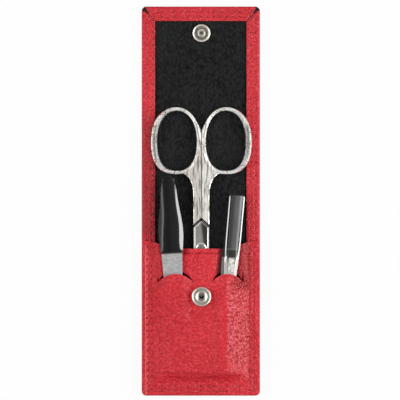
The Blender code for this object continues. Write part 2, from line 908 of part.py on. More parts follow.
def make_half(name, side, front, steel):
    """One half: ring, shank, plate and blade fused into one piece, with the screw's hole."""
    ring = make_ring(name, side, steel)
    shank = prism(
        name + "_shank", mirrored(shank_outline(), side), scissors_z, scissors_top, steel,
        shank_round, stays_sharp=split_or_shoulder,
    )
    low = lap_z + layer_gap if front else scissors_z
    high = scissors_top - plate_step if front else lap_z
    plate = chamfered(
        name + "_plate", mirrored(plate_outline(), side), low, high,
        plate_chamfer, plate_chamfer_deep if front else layer_gap, steel,
    )
    neck = prism(name + "_neck", mirrored(neck_outline(), side), low, high - neck_drop, steel)
    thin_low = low if front else high - blade_thin
    thin_high = low + blade_thin if front else high
    blade = prism(
        name + "_blade", mirrored(blade_outline(), side), thin_low, thin_high, steel, plate_round,
    )
    radius = screw_radius + screw_clearance
    hole = turned(
        name + "_hole",
        [(0.0, scissors_z - overrun), (radius, scissors_z - overrun),
         (radius, scissors_top + overrun), (0.0, scissors_top + overrun)],
        steel,
    )
    for piece in (shank, plate, neck, blade):
        combine(ring, piece, "UNION")
    combine(ring, hole, "DIFFERENCE")
    for piece in (ring, shank, plate, neck, blade, hole):
        piece.location = (scissors_x, screw_y, 0.0)
    return ring


def make_screw(steel):
    low = scissors_z - layer_gap - screw_rivet
    screw = turned("scissors_screw", [
        (0.0, low), (screw_rivet_radius * 0.8, low), (screw_rivet_radius, low + screw_rivet * 0.35),
        (screw_rivet_radius, low + screw_rivet), (screw_radius, low + screw_rivet),
        (screw_radius, screw_head_z), (screw_head_radius, screw_head_z),
        (screw_head_radius, screw_head_z + screw_head * 0.35),
        (screw_head_radius * 0.82, screw_head_z + screw_head * 0.8),
        (screw_head_radius * 0.45, screw_head_top), (0.0, screw_head_top),
    ], steel)
    slot = prism(
        "screw_slot_cut",
        rectangle(screw_head_radius + overrun, -screw_slot / 2, screw_slot / 2),
        screw_head_top - screw_slot_deep, screw_head_top + overrun, steel,
    )
    combine(screw, slot, "DIFFERENCE")
    for piece in (screw, slot):
        piece.location = (scissors_x, screw_y, 0.0)
    return screw


# File, modelled up from the lower end of its handle

def handle_outline(edge, bevel):
    """The handle from above: narrow and round at the top, widest near the blade.

    It is drawn in by the edge's round, and by a bevel that swells along the sides.
    """
    round_y = handle_length - handle_top_half
    side = [(handle_low_half, 0.0), (handle_widest_half, handle_widest_y)]
    for up, narrower in handle_side_shares:
        side.append((
            mix(handle_widest_half, handle_top_half, narrower),
            mix(handle_widest_y, round_y, up),
        ))
    for k in range(handle_round_steps // 2 + 1):
        a = math.pi * k / handle_round_steps
        side.append((handle_top_half * math.cos(a), round_y + handle_top_half * math.sin(a)))
    right = []
    for x, y in side:
        inset = edge + bevel * handle_bevel_widest * along(bevel_shares, y / handle_length)
        if y > round_y:
            share = 1.0 - inset / handle_top_half
            right.append((x * share, round_y + (y - round_y) * share))
        else:
            right.append((x - inset, y))
    return right + [(-x, y) for x, y in reversed(right[:-1])]


def tilted(turn, x, y):
    return Matrix.Translation((x, y, 0.0)) @ Matrix.Rotation(turn, 4, "Z")


def make_handle(black):
    top = file_z + handle_thick
    rows = (
        (handle_edge, 0.0, file_z), (0.0, 0.0, file_z + handle_edge),
        (0.0, 0.0, top - handle_bevel_deep), (0.0, 1.0, top - handle_edge / 3),
        (handle_edge, 1.0, top),
    )
    loops = [
        [Vector((x, y, z)) for x, y in handle_outline(edge, bevel)] for edge, bevel, z in rows
    ]
    handle = loft("file_handle", loops, black, smooth_angle=30)
    slot = prism(
        "handle_slot",
        rectangle(tang_half + layer_gap, -overrun, tang_length + layer_gap),
        blade_z - layer_gap, blade_z + file_thick + layer_gap, black,
    )
    combine(handle, slot, "DIFFERENCE")
    for piece in (handle, slot):
        move_mesh(piece, tilted(file_tilt, file_x, file_y))
    return handle


def make_blade(steel):
    """Flat file blade with a slim tang, tapering to a rounded tip."""
    right = [
        (file_half * across, -layer_gap - file_length * down) for across, down in file_tip_shares
    ]
    outline = (
        [(-tang_half, tang_length), (-tang_half, -layer_gap)]
        + [(-x, y) for x, y in right]
        + [(0.0, -file_length)]
        + list(reversed(right))
        + [(tang_half, -layer_gap), (tang_half, tang_length)]
    )
    blade = prism("file_blade", outline, blade_z, blade_z + file_thick, steel)
    return move_mesh(blade, tilted(file_tilt, file_x, file_y))


# Tweezers, modelled down from the top of their heel

def arm_half(s):
    return tweezers_half * along(arm_width_shares, s / tweezers_length)


def bow(s):
    return smooth((s - heel_length) / bow_length)


def arm_stations():
    return [share * tweezers_length for share in arm_station_shares]


def make_arm(name, steel, front):
    """One arm: a flat strip with bevelled edges that widen into facets below the face."""
    loops = []
    for s in arm_stations():
        short = max(1.0 - s / arm_corner, 0.0)
        half = arm_half(s) - arm_corner * (1.0 - math.sqrt(1.0 - short * short))
        cut = mix(arm_bevel, facet, smooth((s - facet_start) / facet_run))
        cut = min(cut, half - arm_bevel)
        if front:
            near = front_arm_z + bow_up * bow(s)
            far = near + arm_thick
            x = 0.0
        else:
            near = tweezers_z + arm_thick - bow_down * bow(s)
            far = near - arm_thick
            x = -rear_shift * smooth((s - heel_length) / bow_length)
        shoulder = mix(far, near, facet_share)
        loops.append([Vector(p) for p in (
            (x - half, -s, near), (x + half, -s, near), (x + half, -s, shoulder),
            (x + half - cut, -s, far), (x - half + cut, -s, far), (x - half, -s, shoulder),
        )])
    arm = loft(name, loops, steel, smooth_angle=25)
    return move_mesh(arm, tilted(tweezers_tilt, tweezers_x, tweezers_y))


def build():
    clear_scene()
    red = finish("red_leather", (0.56, 0.035, 0.05), 0.5, 0.0)
    card = finish("grey_board", (0.3, 0.29, 0.27), 0.9, 0.0)
    black = finish("black_lining", (0.018, 0.018, 0.019), 0.55, 0.0)
    nickel = finish("warm_nickel", (0.72, 0.69, 0.64), 0.25, 1.0)
    steel = finish("spring_steel", (0.45, 0.45, 0.46), 0.3, 1.0)
    plastic = finish("black_plastic", (0.015, 0.016, 0.016), 0.35, 0.0)
    satin = finish("file_nickel", (0.42, 0.43, 0.43), 0.45, 1.0)

    make_back(red, card, black)
    make_fold(red, black)
    make_front_panel(red)
    make_socket(nickel)
    make_eyelet(nickel)
    make_spring(steel)

    flap = make_flap(red, card, black) + [make_cap(nickel), make_stud(nickel)]
    carried_by((0.0, crease_y, crease_z), flap, "flap_fold_axis")

    left = make_half("scissors_left_half", -1, False, nickel)
    right = make_half("scissors_right_half", 1, True, nickel)
    screw = make_screw(nickel)
    carried_by((scissors_x, screw_y, scissors_z), [left, right, screw], "scissors_axis")

    blade = make_blade(satin)
    handle = make_handle(plastic)
    carried_by((file_x, file_y, file_z), [handle, blade], "file_axis", file_tilt)

    rear = make_arm("tweezers_rear_arm", nickel, front=False)
    front = make_arm("tweezers_front_arm", nickel, front=True)
    heel = tilted(tweezers_tilt, tweezers_x, tweezers_y) @ Vector((0.0, -heel_length, 0.0))
    heel.z = tweezers_z + arm_thick + heel_gap / 2
    carried_by(heel, [rear, front], "tweezers_heel_axis", tweezers_tilt)


build()
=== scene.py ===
"""Looks of the manicure case: leather, lining, thread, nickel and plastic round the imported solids."""
import math

import bmesh
import bpy
from mathutils import Matrix, Vector, noise


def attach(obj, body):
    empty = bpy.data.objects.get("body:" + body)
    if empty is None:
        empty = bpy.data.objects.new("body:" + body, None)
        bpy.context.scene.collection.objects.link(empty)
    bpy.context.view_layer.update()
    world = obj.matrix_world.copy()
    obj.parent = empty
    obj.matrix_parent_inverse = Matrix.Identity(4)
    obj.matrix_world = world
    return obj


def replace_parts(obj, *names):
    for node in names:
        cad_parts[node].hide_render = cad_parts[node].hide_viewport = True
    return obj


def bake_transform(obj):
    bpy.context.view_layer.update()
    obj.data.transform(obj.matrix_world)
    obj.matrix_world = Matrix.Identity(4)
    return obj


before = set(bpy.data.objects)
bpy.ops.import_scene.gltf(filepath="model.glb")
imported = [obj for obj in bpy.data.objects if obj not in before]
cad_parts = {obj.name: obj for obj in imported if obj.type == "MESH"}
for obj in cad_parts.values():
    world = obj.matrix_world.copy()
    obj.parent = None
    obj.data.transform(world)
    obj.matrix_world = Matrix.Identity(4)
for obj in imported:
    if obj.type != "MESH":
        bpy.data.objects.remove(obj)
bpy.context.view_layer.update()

MM = 0.001


def mm(*values):
    """Values in millimetres, as metres."""
    return tuple(value * MM for value in values)


# The case, as in the solids
half_width = 27.8 * MM
half_length = 91.5 * MM
case_corner = 2.2 * MM
leather = 1.0 * MM
edge_round = 0.9 * MM
side_turn = 6.3 * MM
end_turn = 6.8 * MM
lining_low = 1.6 * MM
lining_top = 2.1 * MM
lip_z = 2.2 * MM
lip_top = 3.0 * MM
window_half = half_width - side_turn
window_end = half_length - end_turn

# The pocket's front leather, as in the solids
panel_leather = 1.0 * MM
panel_inset = 0.5 * MM
panel_z = 3.1 * MM
file_x = -13.6 * MM
file_y = -23.9 * MM
file_tilt = math.radians(3.0)
file_half = 4.9 * MM
file_length = 54.0 * MM
file_tip_shares = ((1.0, 0.0), (0.93, 0.16), (0.86, 0.4), (0.7, 0.66), (0.46, 0.86), (0.2, 0.97))
handle_widest_half = 5.8 * MM
tweezers_x = 17.1 * MM
tweezers_y = 2.6 * MM
tweezers_tilt = math.radians(-5.1)
tweezers_half = 3.6 * MM
tweezers_length = 80.0 * MM
arm_width_shares = ((0.0, 1.0), (0.28, 0.98), (0.38, 0.9), (0.46, 0.82), (0.75, 0.6), (1.0, 0.42))
facet_start = 27.0 * MM
plate_apex_y = -8.6 * MM
rear_shift = 1.4 * MM
plate_reach = 4.85 * MM
mouth_middle_y = -22.3 * MM
mouth_side_y = -18.6 * MM
mouth_level_half = 9.0 * MM
slit_y = -38.3 * MM
slit_rise = 4.3 * MM
left_slit = (-20.4 * MM, -3.2 * MM)
right_slit = (5.0 * MM, 20.1 * MM)
slit_open = 0.15 * MM
slit_gape = 1.3 * MM
gape_power = 0.6
taut_share = 0.7
strip_drop = 2.2 * MM
strip_fade_share = 0.4
seat_gap = 0.3 * MM
middle_z = 6.35 * MM
file_dip_z = 4.6 * MM
blade_dip_z = 5.2 * MM
arm_dip_z = 4.5 * MM
arm_dip_margin = 1.0 * MM
file_tab_z = 7.8 * MM
arm_tab_z = 8.6 * MM
ridge_x = 12.2 * MM
ridge_rise = 0.3 * MM
ridge_run = 2.0 * MM
ridge_fall = 0.25 * MM
span_z = 7.5 * MM
snap_sink = 9.0 * MM
panel_foot_x = window_half + 0.9 * MM
foot_y = -half_length + panel_inset + 5.7 * MM
panel_ramp = 5.8 * MM
snap_run = 1.6 * MM
snap_x = 0.3 * MM
pocket_snap_y = -44.7 * MM
flap_snap_y = 79.0 * MM
socket_radius = 4.55 * MM
cap_seat_radius = 5.1 * MM
cap_seat_depth = 0.62 * MM
scissors_x = 0.25 * MM

# The scissors' rings and the crotch between them
ring_x = 11.87 * MM
ring_y = 28.31 * MM
ring_half_x = 11.78 * MM
ring_half_y = 15.97 * MM
ring_upper_power = 2.1
ring_lower_power = 2.45
scissors_top = 5.5 * MM
crotch = (22.0 * MM, 36.0 * MM)
crotch_open_y = 31.5 * MM
crotch_low = 3.6 * MM
crotch_top = 5.25 * MM
crotch_sink = 0.6 * MM
crotch_steps = 16
crotch_fall = 0.1 * MM
split_half = 0.1 * MM

# The file's handle, up from its lower edge: half its width, and how far its two bevels come in
handle_low = 5.9 * MM
handle_high = 8.7 * MM
handle_edge = 0.25 * MM
bevel_slope = 0.52
bevel_most_share = 0.6
edge_most_share = 0.4
straight_steps = 30
rounded_steps = 9
rounded_angle = math.radians(88.0)
handle_round = 32.65 * MM
handle_round_half = 3.05 * MM
handle_halves = [mm(*pair) for pair in (
    (0.0, 5.13), (5.0, 5.6), (9.2, 5.8), (13.9, 5.5), (19.3, 4.75), (24.7, 4.05), (30.1, 3.5),
    (32.65, 3.05),
)]
left_bevel = [mm(*pair) for pair in (
    (0.0, 0.1), (0.9, 0.95), (5.8, 1.8), (11.0, 2.3), (16.6, 2.2), (24.7, 1.2), (30.0, 0.7), (33.4, 0.12),
    (35.7, 0.1),
)]
right_bevel = [mm(*pair) for pair in (
    (0.0, 0.1), (0.9, 0.9), (3.1, 1.45), (8.4, 1.7), (13.9, 1.4), (19.3, 1.2), (24.7, 0.9), (30.0, 0.5),
    (33.4, 0.1), (35.7, 0.1),
)]
slot_half = 2.3 * MM
slot_length = 18.2 * MM
slot_low = 6.4 * MM
slot_high = 7.6 * MM

# The case's leather: how its grid is spaced and how its border is shaped
side_insets = mm(
    0.0, 0.12, 0.3, 0.55, 0.9, 1.3, 1.65, 2.0, 2.4, 2.8,
    3.2, 3.65, 4.1, 4.45, 4.8, 5.1, 5.45, 5.85, 6.15, 6.3,
)
end_insets = mm(
    0.0, 0.12, 0.3, 0.55, 0.9, 1.3, 1.7, 2.05, 2.4, 2.75,
    3.1, 3.5, 3.9, 4.3, 4.65, 5.0, 5.4, 5.8, 6.2, 6.6, 6.8,
)
window_steps = 14
row_step = 0.55 * MM
weld = 0.002 * MM
border_sink = 0.16 * MM
border_sink_share = 0.9
pressed_low_y, pressed_low_run = mm(-24.0, 8.0)
pressed_high_y, pressed_high_run = mm(46.0, 10.0)
pressed_depth = 0.75 * MM
sewn_from_end = 4.0 * MM
row_overrun = 1.6 * MM
border_sew_depth = 0.22 * MM
row_reach = 0.6 * MM
row_pull_share = 0.35
hole_reach = 0.7 * MM
mitre_margin = 0.5 * MM
mitre_depth = 0.42 * MM
mitre_half = 0.45 * MM
mitre_gap = 1.25 * MM
mitre_gap_start = 1.3 * MM
mitre_gap_end = 3.9 * MM
mitre_gap_run = 2.6 * MM
mitre_gap_depth = 1.3 * MM
mitre_gap_soft = 0.35 * MM
border_wave, border_wave_depth = mm(5.0, 0.07)
grain_layer = 0.3
crossings = ((-9.6 * MM, 1.0 * MM, 1.0), (-8.0 * MM, 0.6 * MM, 0.7))
crossing_depth = 0.08 * MM

# The lining
lining_room = 0.2 * MM
lining_columns = 48
lining_rows = 170
lining_slack = 0.05 * MM
lining_wave, lining_wave_depth = mm(14.0, 0.09)
lining_edge_drop, lining_edge_run = mm(0.08, 3.0)
lining_snap_drop, lining_snap_reach = mm(0.1, 7.0)
lining_under_lip = 0.03 * MM

# The pocket's grid, folds and hem
panel_column_steps = (20, 38, 20, 34, 22)
tab_steps = 96
corner_steps = 6
strip_steps = 30
fold_side_run, fold_slit_run, fold_snap_run = mm(5.0, 8.0, 5.0)
folds_below_slits = 2.0 * MM
fold_sway, fold_sway_run = mm(0.9, 4.1)
fold_slant = 0.12
fold_sizes = ((5.5 * MM, 1.5 * MM, 4.0, 1.0), (3.0 * MM, 0.9 * MM, 9.0, 0.6))
fold_depth = 0.13 * MM
pebble, pebble_depth = mm(1.9, 0.05)
hem_below = 2.1 * MM
hem_half = 12.0 * MM
hem_depth = 0.12 * MM
hem_reach = 0.5 * MM
socket_hole = 1.7 * MM

# Stitching
stitch_pitch = 3.05 * MM
stitch_phase = 0.5
stitch_long = 2.25 * MM
thread_radius = 0.15 * MM
thread_sides = 8
thread_end_share = 0.55
stitch_shape = (
    (-1.0, -0.22 * MM), (-0.82, -0.04 * MM), (-0.5, 0.06 * MM), (0.0, 0.09 * MM),
    (0.5, 0.06 * MM), (0.82, -0.04 * MM), (1.0, -0.22 * MM),
)
border_rows = mm(-25.15, -22.7, 23.36, 25.8)
border_end_rows = mm(89.1, 86.7)
border_sewn_from_y = -17.5 * MM
pocket_rows = mm(-25.2, -23.1, 22.9, 25.05)
pocket_end_rows = mm(-89.0, -86.9)
pocket_sewn_to_y = -20.2 * MM
pocket_sew_depth = 0.2 * MM
outer_row_x = 24.0 * MM
row_turn = 0.8 * MM
row_past_end = 1.0 * MM

# Looks: two numbers are a soft step from none to full, four are none, full, full and none again
needle_hole = (0.07, 0.21)
every_second = (0.2, 0.3)
needle_width = mm(0.16, 0.5)
case_top_z = mm(1.6, 1.8)
painted_shade_x = mm(-22.5, -20.0)
painted_shade_y = mm(-21.0, -14.0, 34.0, 46.0)
mottled_shade_x = mm(-24.6, -23.6)
mitre_z = mm(1.0, 1.2)
mitre_mark_gap = 1.8 * MM
mitre_mark_narrows = mm(1.5, 3.6)
mitre_mark_start = mm(0.8, 1.1)
mitre_mark_edge = mm(-0.1, 0.25)
mitre_line_width = mm(0.14, 0.4)
mitre_line_start = mm(1.1, 1.4)
mitre_line_end = mm(6.2, 6.8)
pocket_mouth_y = mm(-21.0, -20.0)
folded_x = mm(8.0, 13.0)
folded_y = mm(-46.0, -38.0)
hem_line = mm(0.08, 0.36)
hem_ends = mm(8.0, 10.5)
hollow_beside = mm(-7.0, -5.3, 2.0, 4.0)
hollow_over = mm(0.0, 0.3)
hollow_y = mm(-39.0, -38.0)
edge_ridge_out = 0.6 * MM
edge_ridge_width = mm(0.15, 0.5)
highlight_band_x = (ridge_x - 0.6 * MM, ridge_x + 0.6 * MM, 21.5 * MM, 23.5 * MM)
highlight_band_y = mm(-77.0, -73.5, -40.0, -34.0)
inside_rows_x = mm(22.4, 23.2)
upper_y = mm(-54.0, -47.0)
stripe_x = mm(9.6, 10.4, 12.2, 12.9)
stripe_y = mm(-76.0, -64.0, -48.0, -42.0)
tabs_x = mm(14.0, 16.5)
tabs_y = mm(-43.0, -39.0)
right_side_x = mm(0.0, 1.0)
highlit_thread_x = mm(-24.6, -24.0)
shaded_thread_x = mm(20.0, 21.0)
ring_crest_z = (scissors_top - 0.16 * MM, scissors_top - 0.03 * MM)
plate_slope = 0.88
plate_edge = mm(-0.35, -0.15)
plate_groove = mm(-0.1, 0.05, 0.75, 0.95)
plate_face_x = mm(2.8, 2.95)
plate_bevel_x = mm(2.85, 3.0)
plate_lit_x = mm(-1.9, -0.1)
plate_glossy_x = mm(-1.8, 0.2)
web_slope = 1.3
web_end = mm(22.0, 26.0)
between_rings_x = mm(0.9, 1.5)
between_rings_y = mm(15.0, 20.0, 30.0, 34.0)
shank_seam_x = mm(0.12, 0.32)
shank_seam_y = mm(-4.0, 8.0)
shank_lit_x = mm(-2.0, 1.5)
stamped_down = (facet_start + 1.5 * MM, facet_start + 3.0 * MM)
stamped_half = mm(1.2, 1.5)
patch_down = mm(25.3, 25.8)
patch_aside = 0.15 * MM
patch_half = mm(1.5, 1.8)
lip_width = mm(0.1, 0.35)
arm_taper = 0.012
arm_rim = 0.62 * MM
rim_step = mm(0.1, 0.4)
rim_line_width = mm(0.16, 0.42)
arm_lit_x = mm(-1.6, 0.3)
arm_bright_x = mm(0.8, 2.2)
handle_shadow_band = mm(0.5, 1.0)
handle_face_z = (handle_high - 0.75 * MM, handle_high - 0.15 * MM)
handle_middle_x = mm(-1.0, 1.0)
stud_valley = mm(1.75, 2.0, 3.1, 3.4)
stud_bore = mm(0.55, 0.95)

# Grain and strokes, as repeats in a metre, or along each axis
leather_speck = 900.0
leather_cloud = 55.0
fine_cells = 2.1
crease_cells = 0.6
crease_width = 0.14
pebble_blur = 0.3
case_cell = 1.0 * MM
pocket_cell = 1.3 * MM
lining_cell = 1.15 * MM
fold_stretch = (150.0, 620.0, 300.0)
fold_turn = 0.1
thread_twist = 1500.0
metal_cloud = 260.0
metal_spot = 1100.0
metal_patch = 180.0
even_strokes = (900.0, 900.0, 900.0)
wire_strokes = (2000.0, 200.0, 900.0)
shank_strokes = (1100.0, 120.0, 400.0)
shank_stroke_turn = 0.03
ring_strokes_across = 46.0
ring_strokes_along = 3.0
arm_mottle = 1400.0
arm_cloud = 120.0
file_tooth = 5200.0
file_strokes = (420.0, 2400.0, 900.0)
handle_strokes = (2600.0, 160.0, 900.0)

# Depths of the grain, and steps in a grain's height that turn it into spots or strokes
case_grain_depth = 0.4 * MM
pocket_grain_depth = 0.42 * MM
lining_grain_depth = 0.38 * MM
thread_depth = 0.05 * MM
scissors_depth = 0.08 * MM
arm_depth = 0.03 * MM
polish_depth = 0.03 * MM
stud_depth = 0.06 * MM
snap_depth = 0.09 * MM
file_depth = 0.05 * MM
scratch_depth = 0.004 * MM
fibre_depth = 0.05 * MM
valley_step = (0.3, 0.8)
tops_step = (0.0, 0.75)
speck_step = (0.5, 0.62)
patch_step = (0.42, 0.58)
shank_stroke_step = (0.42, 0.66)
ring_line_step = (0.46, 0.6)
rough_stroke_step = (0.35, 0.7)
dark_stroke_step = (0.42, 0.72)
dark_stroke_share = 0.62

# Colours
red_valley = (0.41, 0.003, 0.0095)
red_rubbed = (0.69, 0.024, 0.038)
needle_hole_shade = (0.1, 0.001, 0.003)
case_color = (0.56, 0.0065, 0.017)
case_painted_highlight = (0.9, 0.08, 0.1)
case_painted_shade = (0.28, 0.006, 0.012)
case_mottled_shade = (0.035, 0.004, 0.005)
mitre_painted_shade = (0.012, 0.004, 0.004)
pocket_color = (0.565, 0.002, 0.0105)
pocket_painted_highlight = (0.98, 0.08, 0.11)
pocket_fold_shade = (0.4, 0.006, 0.014)
pocket_band_highlight = (0.85, 0.16, 0.18)
pocket_hem_shade = (0.25, 0.004, 0.008)
pocket_highlight_edge = (0.6, 0.003, 0.012)
pocket_tab_shade = (0.36, 0.002, 0.007)
pocket_ridge_highlight = (0.85, 0.12, 0.14)
pocket_hollow_shade = (0.03, 0.003, 0.004)
lining_black = (0.0125, 0.013, 0.013)
lining_valley = (0.001, 0.001, 0.001)
lining_rubbed = (0.02, 0.0215, 0.021)
thread_red = (0.62, 0.016, 0.028)
thread_groove = (0.3, 0.006, 0.01)
thread_painted_highlight = (0.82, 0.13, 0.15)
thread_shaded = (0.16, 0.002, 0.006)
shank_painted_shade = (0.66, 0.62, 0.57)
shank_painted_light = (0.8, 0.77, 0.73)
shank_stroke = (0.12, 0.105, 0.085)
ring_bright = (1.0, 0.98, 0.95)
ring_line = (0.42, 0.39, 0.34)
ring_spot = (0.1, 0.09, 0.07)
ring_crest_dark_reflection = (0.16, 0.145, 0.12)
plate_lit = (0.7, 0.67, 0.63)
plate_shaded = (0.25, 0.24, 0.23)
plate_cloud = (0.2, 0.19, 0.18)
plate_bevel_painted_light = (0.24, 0.23, 0.22)
plate_bevel_painted_shade = (0.15, 0.145, 0.14)
seam_dark = (0.03, 0.025, 0.02)
groove_painted_shade = (0.01, 0.01, 0.01)
arm_reflection_dark = (0.36, 0.36, 0.36)
arm_reflection_middle = (0.86, 0.86, 0.84)
arm_reflection_bright = (0.95, 0.95, 0.93)
arm_cloud_color = (0.3, 0.3, 0.3)
patch_dark = (0.16, 0.16, 0.16)
lip_bright = (1.0, 1.0, 1.0)
rim_painted_shade = (0.13, 0.13, 0.13)
rim_painted_light = (0.17, 0.17, 0.165)
rim_line_dark_reflection = (0.05, 0.05, 0.05)
facet_painted_light = (0.5, 0.49, 0.47)
facet_painted_shade = (0.34, 0.33, 0.32)
stamped_bright = (0.7, 0.68, 0.64)
stamped_dark = (0.22, 0.2, 0.17)
file_bright = (0.47, 0.465, 0.47)
file_dark = (0.17, 0.17, 0.17)
handle_painted_shadow = (0.04, 0.04, 0.04)
stud_bright = (0.68, 0.65, 0.59)
stud_cloud = (0.42, 0.39, 0.33)
stud_valley_shade = (0.26, 0.24, 0.2)
stud_bore_shade = (0.03, 0.025, 0.02)
board_dark = (0.24, 0.23, 0.21)
board_light = (0.38, 0.36, 0.33)
plastic_dark = (0.005, 0.005, 0.006)
plastic_light = (0.011, 0.011, 0.012)

# Camera: straight above, on the photograph's middle
view_x = -0.38 * MM
view_y = 0.52 * MM
view_width = 188.0 * MM
camera_height = 1.5
sensor = 36.0

# Stage
table_half = 3.0
table_drop = 0.05 * MM
table_glow = 0.9
studio_opening = (0.88, 0.985)
studio_wall = (0.1, 0.5)
wall_foot, wall_rise, opening_dim = 0.6, 0.28, 0.72
studio_fill = 0.55


def smooth(t):
    t = min(max(t, 0.0), 1.0)
    return t * t * (3.0 - 2.0 * t)


def mix(a, b, t):
    return a + (b - a) * t


def along(places, at):
    """The value at a place, with soft steps between the places given."""
    for (a, va), (b, vb) in zip(places, places[1:]):
        if at <= b:
            return mix(va, vb, smooth((at - a) / (b - a)))
    return places[-1][1]


def taut(places, at):
    """As along, but nearly straight between the places, as leather is when it is pulled tight."""
    for (a, va), (b, vb) in zip(places, places[1:]):
        if at <= b:
            t = (at - a) / (b - a)
            return mix(va, vb, mix(smooth(t), t, taut_share))
    return places[-1][1]


def flowing(places, at):
    """A smooth curve through the places."""
    last = len(places) - 1
    k = 0
    while k < last - 1 and at > places[k + 1][0]:
        k += 1
    (a, va), (b, vb) = places[k:k + 2]
    before = places[max(k - 1, 0)]
    after = places[min(k + 2, last)]
    slope_a = (vb - before[1]) / (b - before[0])
    slope_b = (after[1] - va) / (after[0] - a)
    t = min(max((at - a) / (b - a), 0.0), 1.0)
    start = va + slope_a * (b - a) * t
    end = vb - slope_b * (b - a) * (1.0 - t)
    return mix(start, end, smooth(t))


def bump(distance, reach):
    """1 at no distance, falling softly to 0 at reach."""
    return smooth(1.0 - abs(distance) / reach)


# Shader building

class Wire:
    """A node's output, on which plain sums add the nodes they need."""

    def __init__(self, tree, socket):
        self.tree = tree
        self.socket = socket

    def maths(self, operation, *values):
        node = self.tree.nodes.new("ShaderNodeMath")
        node.operation = operation
        for slot, value in zip(node.inputs, values):
            join(self.tree, value, slot)
        return Wire(self.tree, node.outputs[0])

    def __add__(self, other):
        return self.maths("ADD", self, other)

    def __radd__(self, other):
        return self.maths("ADD", other, self)

    def __sub__(self, other):
        return self.maths("SUBTRACT", self, other)

    def __rsub__(self, other):
        return self.maths("SUBTRACT", other, self)

    def __mul__(self, other):
        return self.maths("MULTIPLY", self, other)

    def __rmul__(self, other):
        return self.maths("MULTIPLY", other, self)

    def __truediv__(self, other):
        return self.maths("DIVIDE", self, other)

    def __rtruediv__(self, other):
        return self.maths("DIVIDE", other, self)

    def __pow__(self, other):
        return self.maths("POWER", self, other)

    def __abs__(self):
        return self.maths("ABSOLUTE", self)

    def most(self, other):
        return self.maths("MAXIMUM", self, other)

    def clear_step(self, low, high):
        """0 below low, 1 above high, and a soft step between."""
        node = self.tree.nodes.new("ShaderNodeMapRange")
        node.interpolation_type = "SMOOTHSTEP"
        for name, value in (("Value", self), ("From Min", low), ("From Max", high)):
            join(self.tree, value, node.inputs[name])
        return Wire(self.tree, node.outputs[0])

    def fall(self, low, high):
        """1 below low, 0 above high, and a soft step between."""
        return 1.0 - self.clear_step(low, high)

    def near(self, full, gone):
        """1 closer to nothing than full, 0 further than gone, on both sides."""
        return abs(self).fall(full, gone)

    def span(self, low, low_full, high_full, high):
        """0 outside low and high, 1 from low_full to high_full, and soft steps between."""
        return self.clear_step(low, low_full) * self.fall(high_full, high)

    def from_whole(self):
        """How far the value is from the nearest whole number."""
        return abs(self.maths("WRAP", self, 0.5, -0.5))


def join(tree, value, slot):
    if isinstance(value, Wire):
        tree.links.new(value.socket, slot)
    elif value is not None:
        slot.default_value = value


class Look:
    """One finish: a Principled shader and the nodes that vary it."""

    def __init__(self, name, color, roughness, metallic=0.0, at_rest=False, **constants):
        self.at_rest = at_rest
        self.material = bpy.data.materials.new(name)
        self.material.use_nodes = True
        self.tree = self.material.node_tree
        self.shader = self.tree.nodes["Principled BSDF"]
        self.put("Base Color", (*color, 1.0))
        self.put("Roughness", roughness)
        self.put("Metallic", metallic)
        for words, value in constants.items():
            self.put(words.replace("_", " "), value)
        self.material.diffuse_color = (*color, 1.0)

    def put(self, name, value):
        join(self.tree, value, self.shader.inputs[name])

    def node(self, kind, out=0, settings=(), **values):
        made = self.tree.nodes.new("ShaderNode" + kind)
        for name, value in dict(settings).items():
            setattr(made, name, value)
        for name, value in values.items():
            join(self.tree, value, made.inputs[name.replace("_", " ")])
        return Wire(self.tree, made.outputs[out])

    def place(self):
        """Position on the object in metres, before the case bends where the piece notes that."""
        if self.at_rest:
            return self.node("Attribute", out="Vector", settings={"attribute_name": "rest_place"})
        return self.node("TexCoord", out="Object")

    def xyz(self, vector):
        made = self.tree.nodes.new("ShaderNodeSeparateXYZ")
        join(self.tree, vector, made.inputs[0])
        return [Wire(self.tree, socket) for socket in made.outputs]

    def stretched(self, vector, scale, turn=0.0):
        return self.node("Mapping", Vector=vector, Scale=scale, Rotation=(0.0, 0.0, turn))

    def clouds(self, scale, detail=2.0, rough=0.5, vector=None):
        return self.node(
            "TexNoise", Vector=vector or self.place(), Scale=scale, Detail=detail, Roughness=rough)

    def cells(self, scale, feature="F1", vector=None, blur=None):
        settings = {"feature": feature}
        values = {"Vector": vector or self.place(), "Scale": scale}
        if blur is not None:
            values["Smoothness"] = blur
        return self.node("TexVoronoi", settings=settings, **values)

    def blend_colors(self, share, a, b):
        made = self.tree.nodes.new("ShaderNodeMix")
        made.data_type = "RGBA"
        join(self.tree, share, made.inputs[0])
        for slot, value in ((made.inputs[6], a), (made.inputs[7], b)):
            join(self.tree, value if isinstance(value, Wire) else (*value, 1.0), slot)
        return Wire(self.tree, made.outputs[2])

    def layered(self, color, *layers):
        """Colours laid over a first one, each given as where, how strongly, and its colour."""
        for where, strength, tone in layers:
            color = self.blend_colors(where * strength, color, tone)
        return color

    def relief(self, height, depth, strength=1.0):
        """A bump whose height of 1 stands for a depth in metres."""
        return self.node("Bump", Height=height, Distance=depth, Strength=strength)


# Mesh building

def note_rest(mesh):
    """Write down where each point lies at rest, so that grain and marks bend with the leather."""
    noted = mesh.attributes.get("rest_place")
    if not noted:
        noted = mesh.attributes.new("rest_place", "FLOAT_VECTOR", "POINT")
    for vertex, place in zip(mesh.vertices, noted.data):
        place.vector = vertex.co


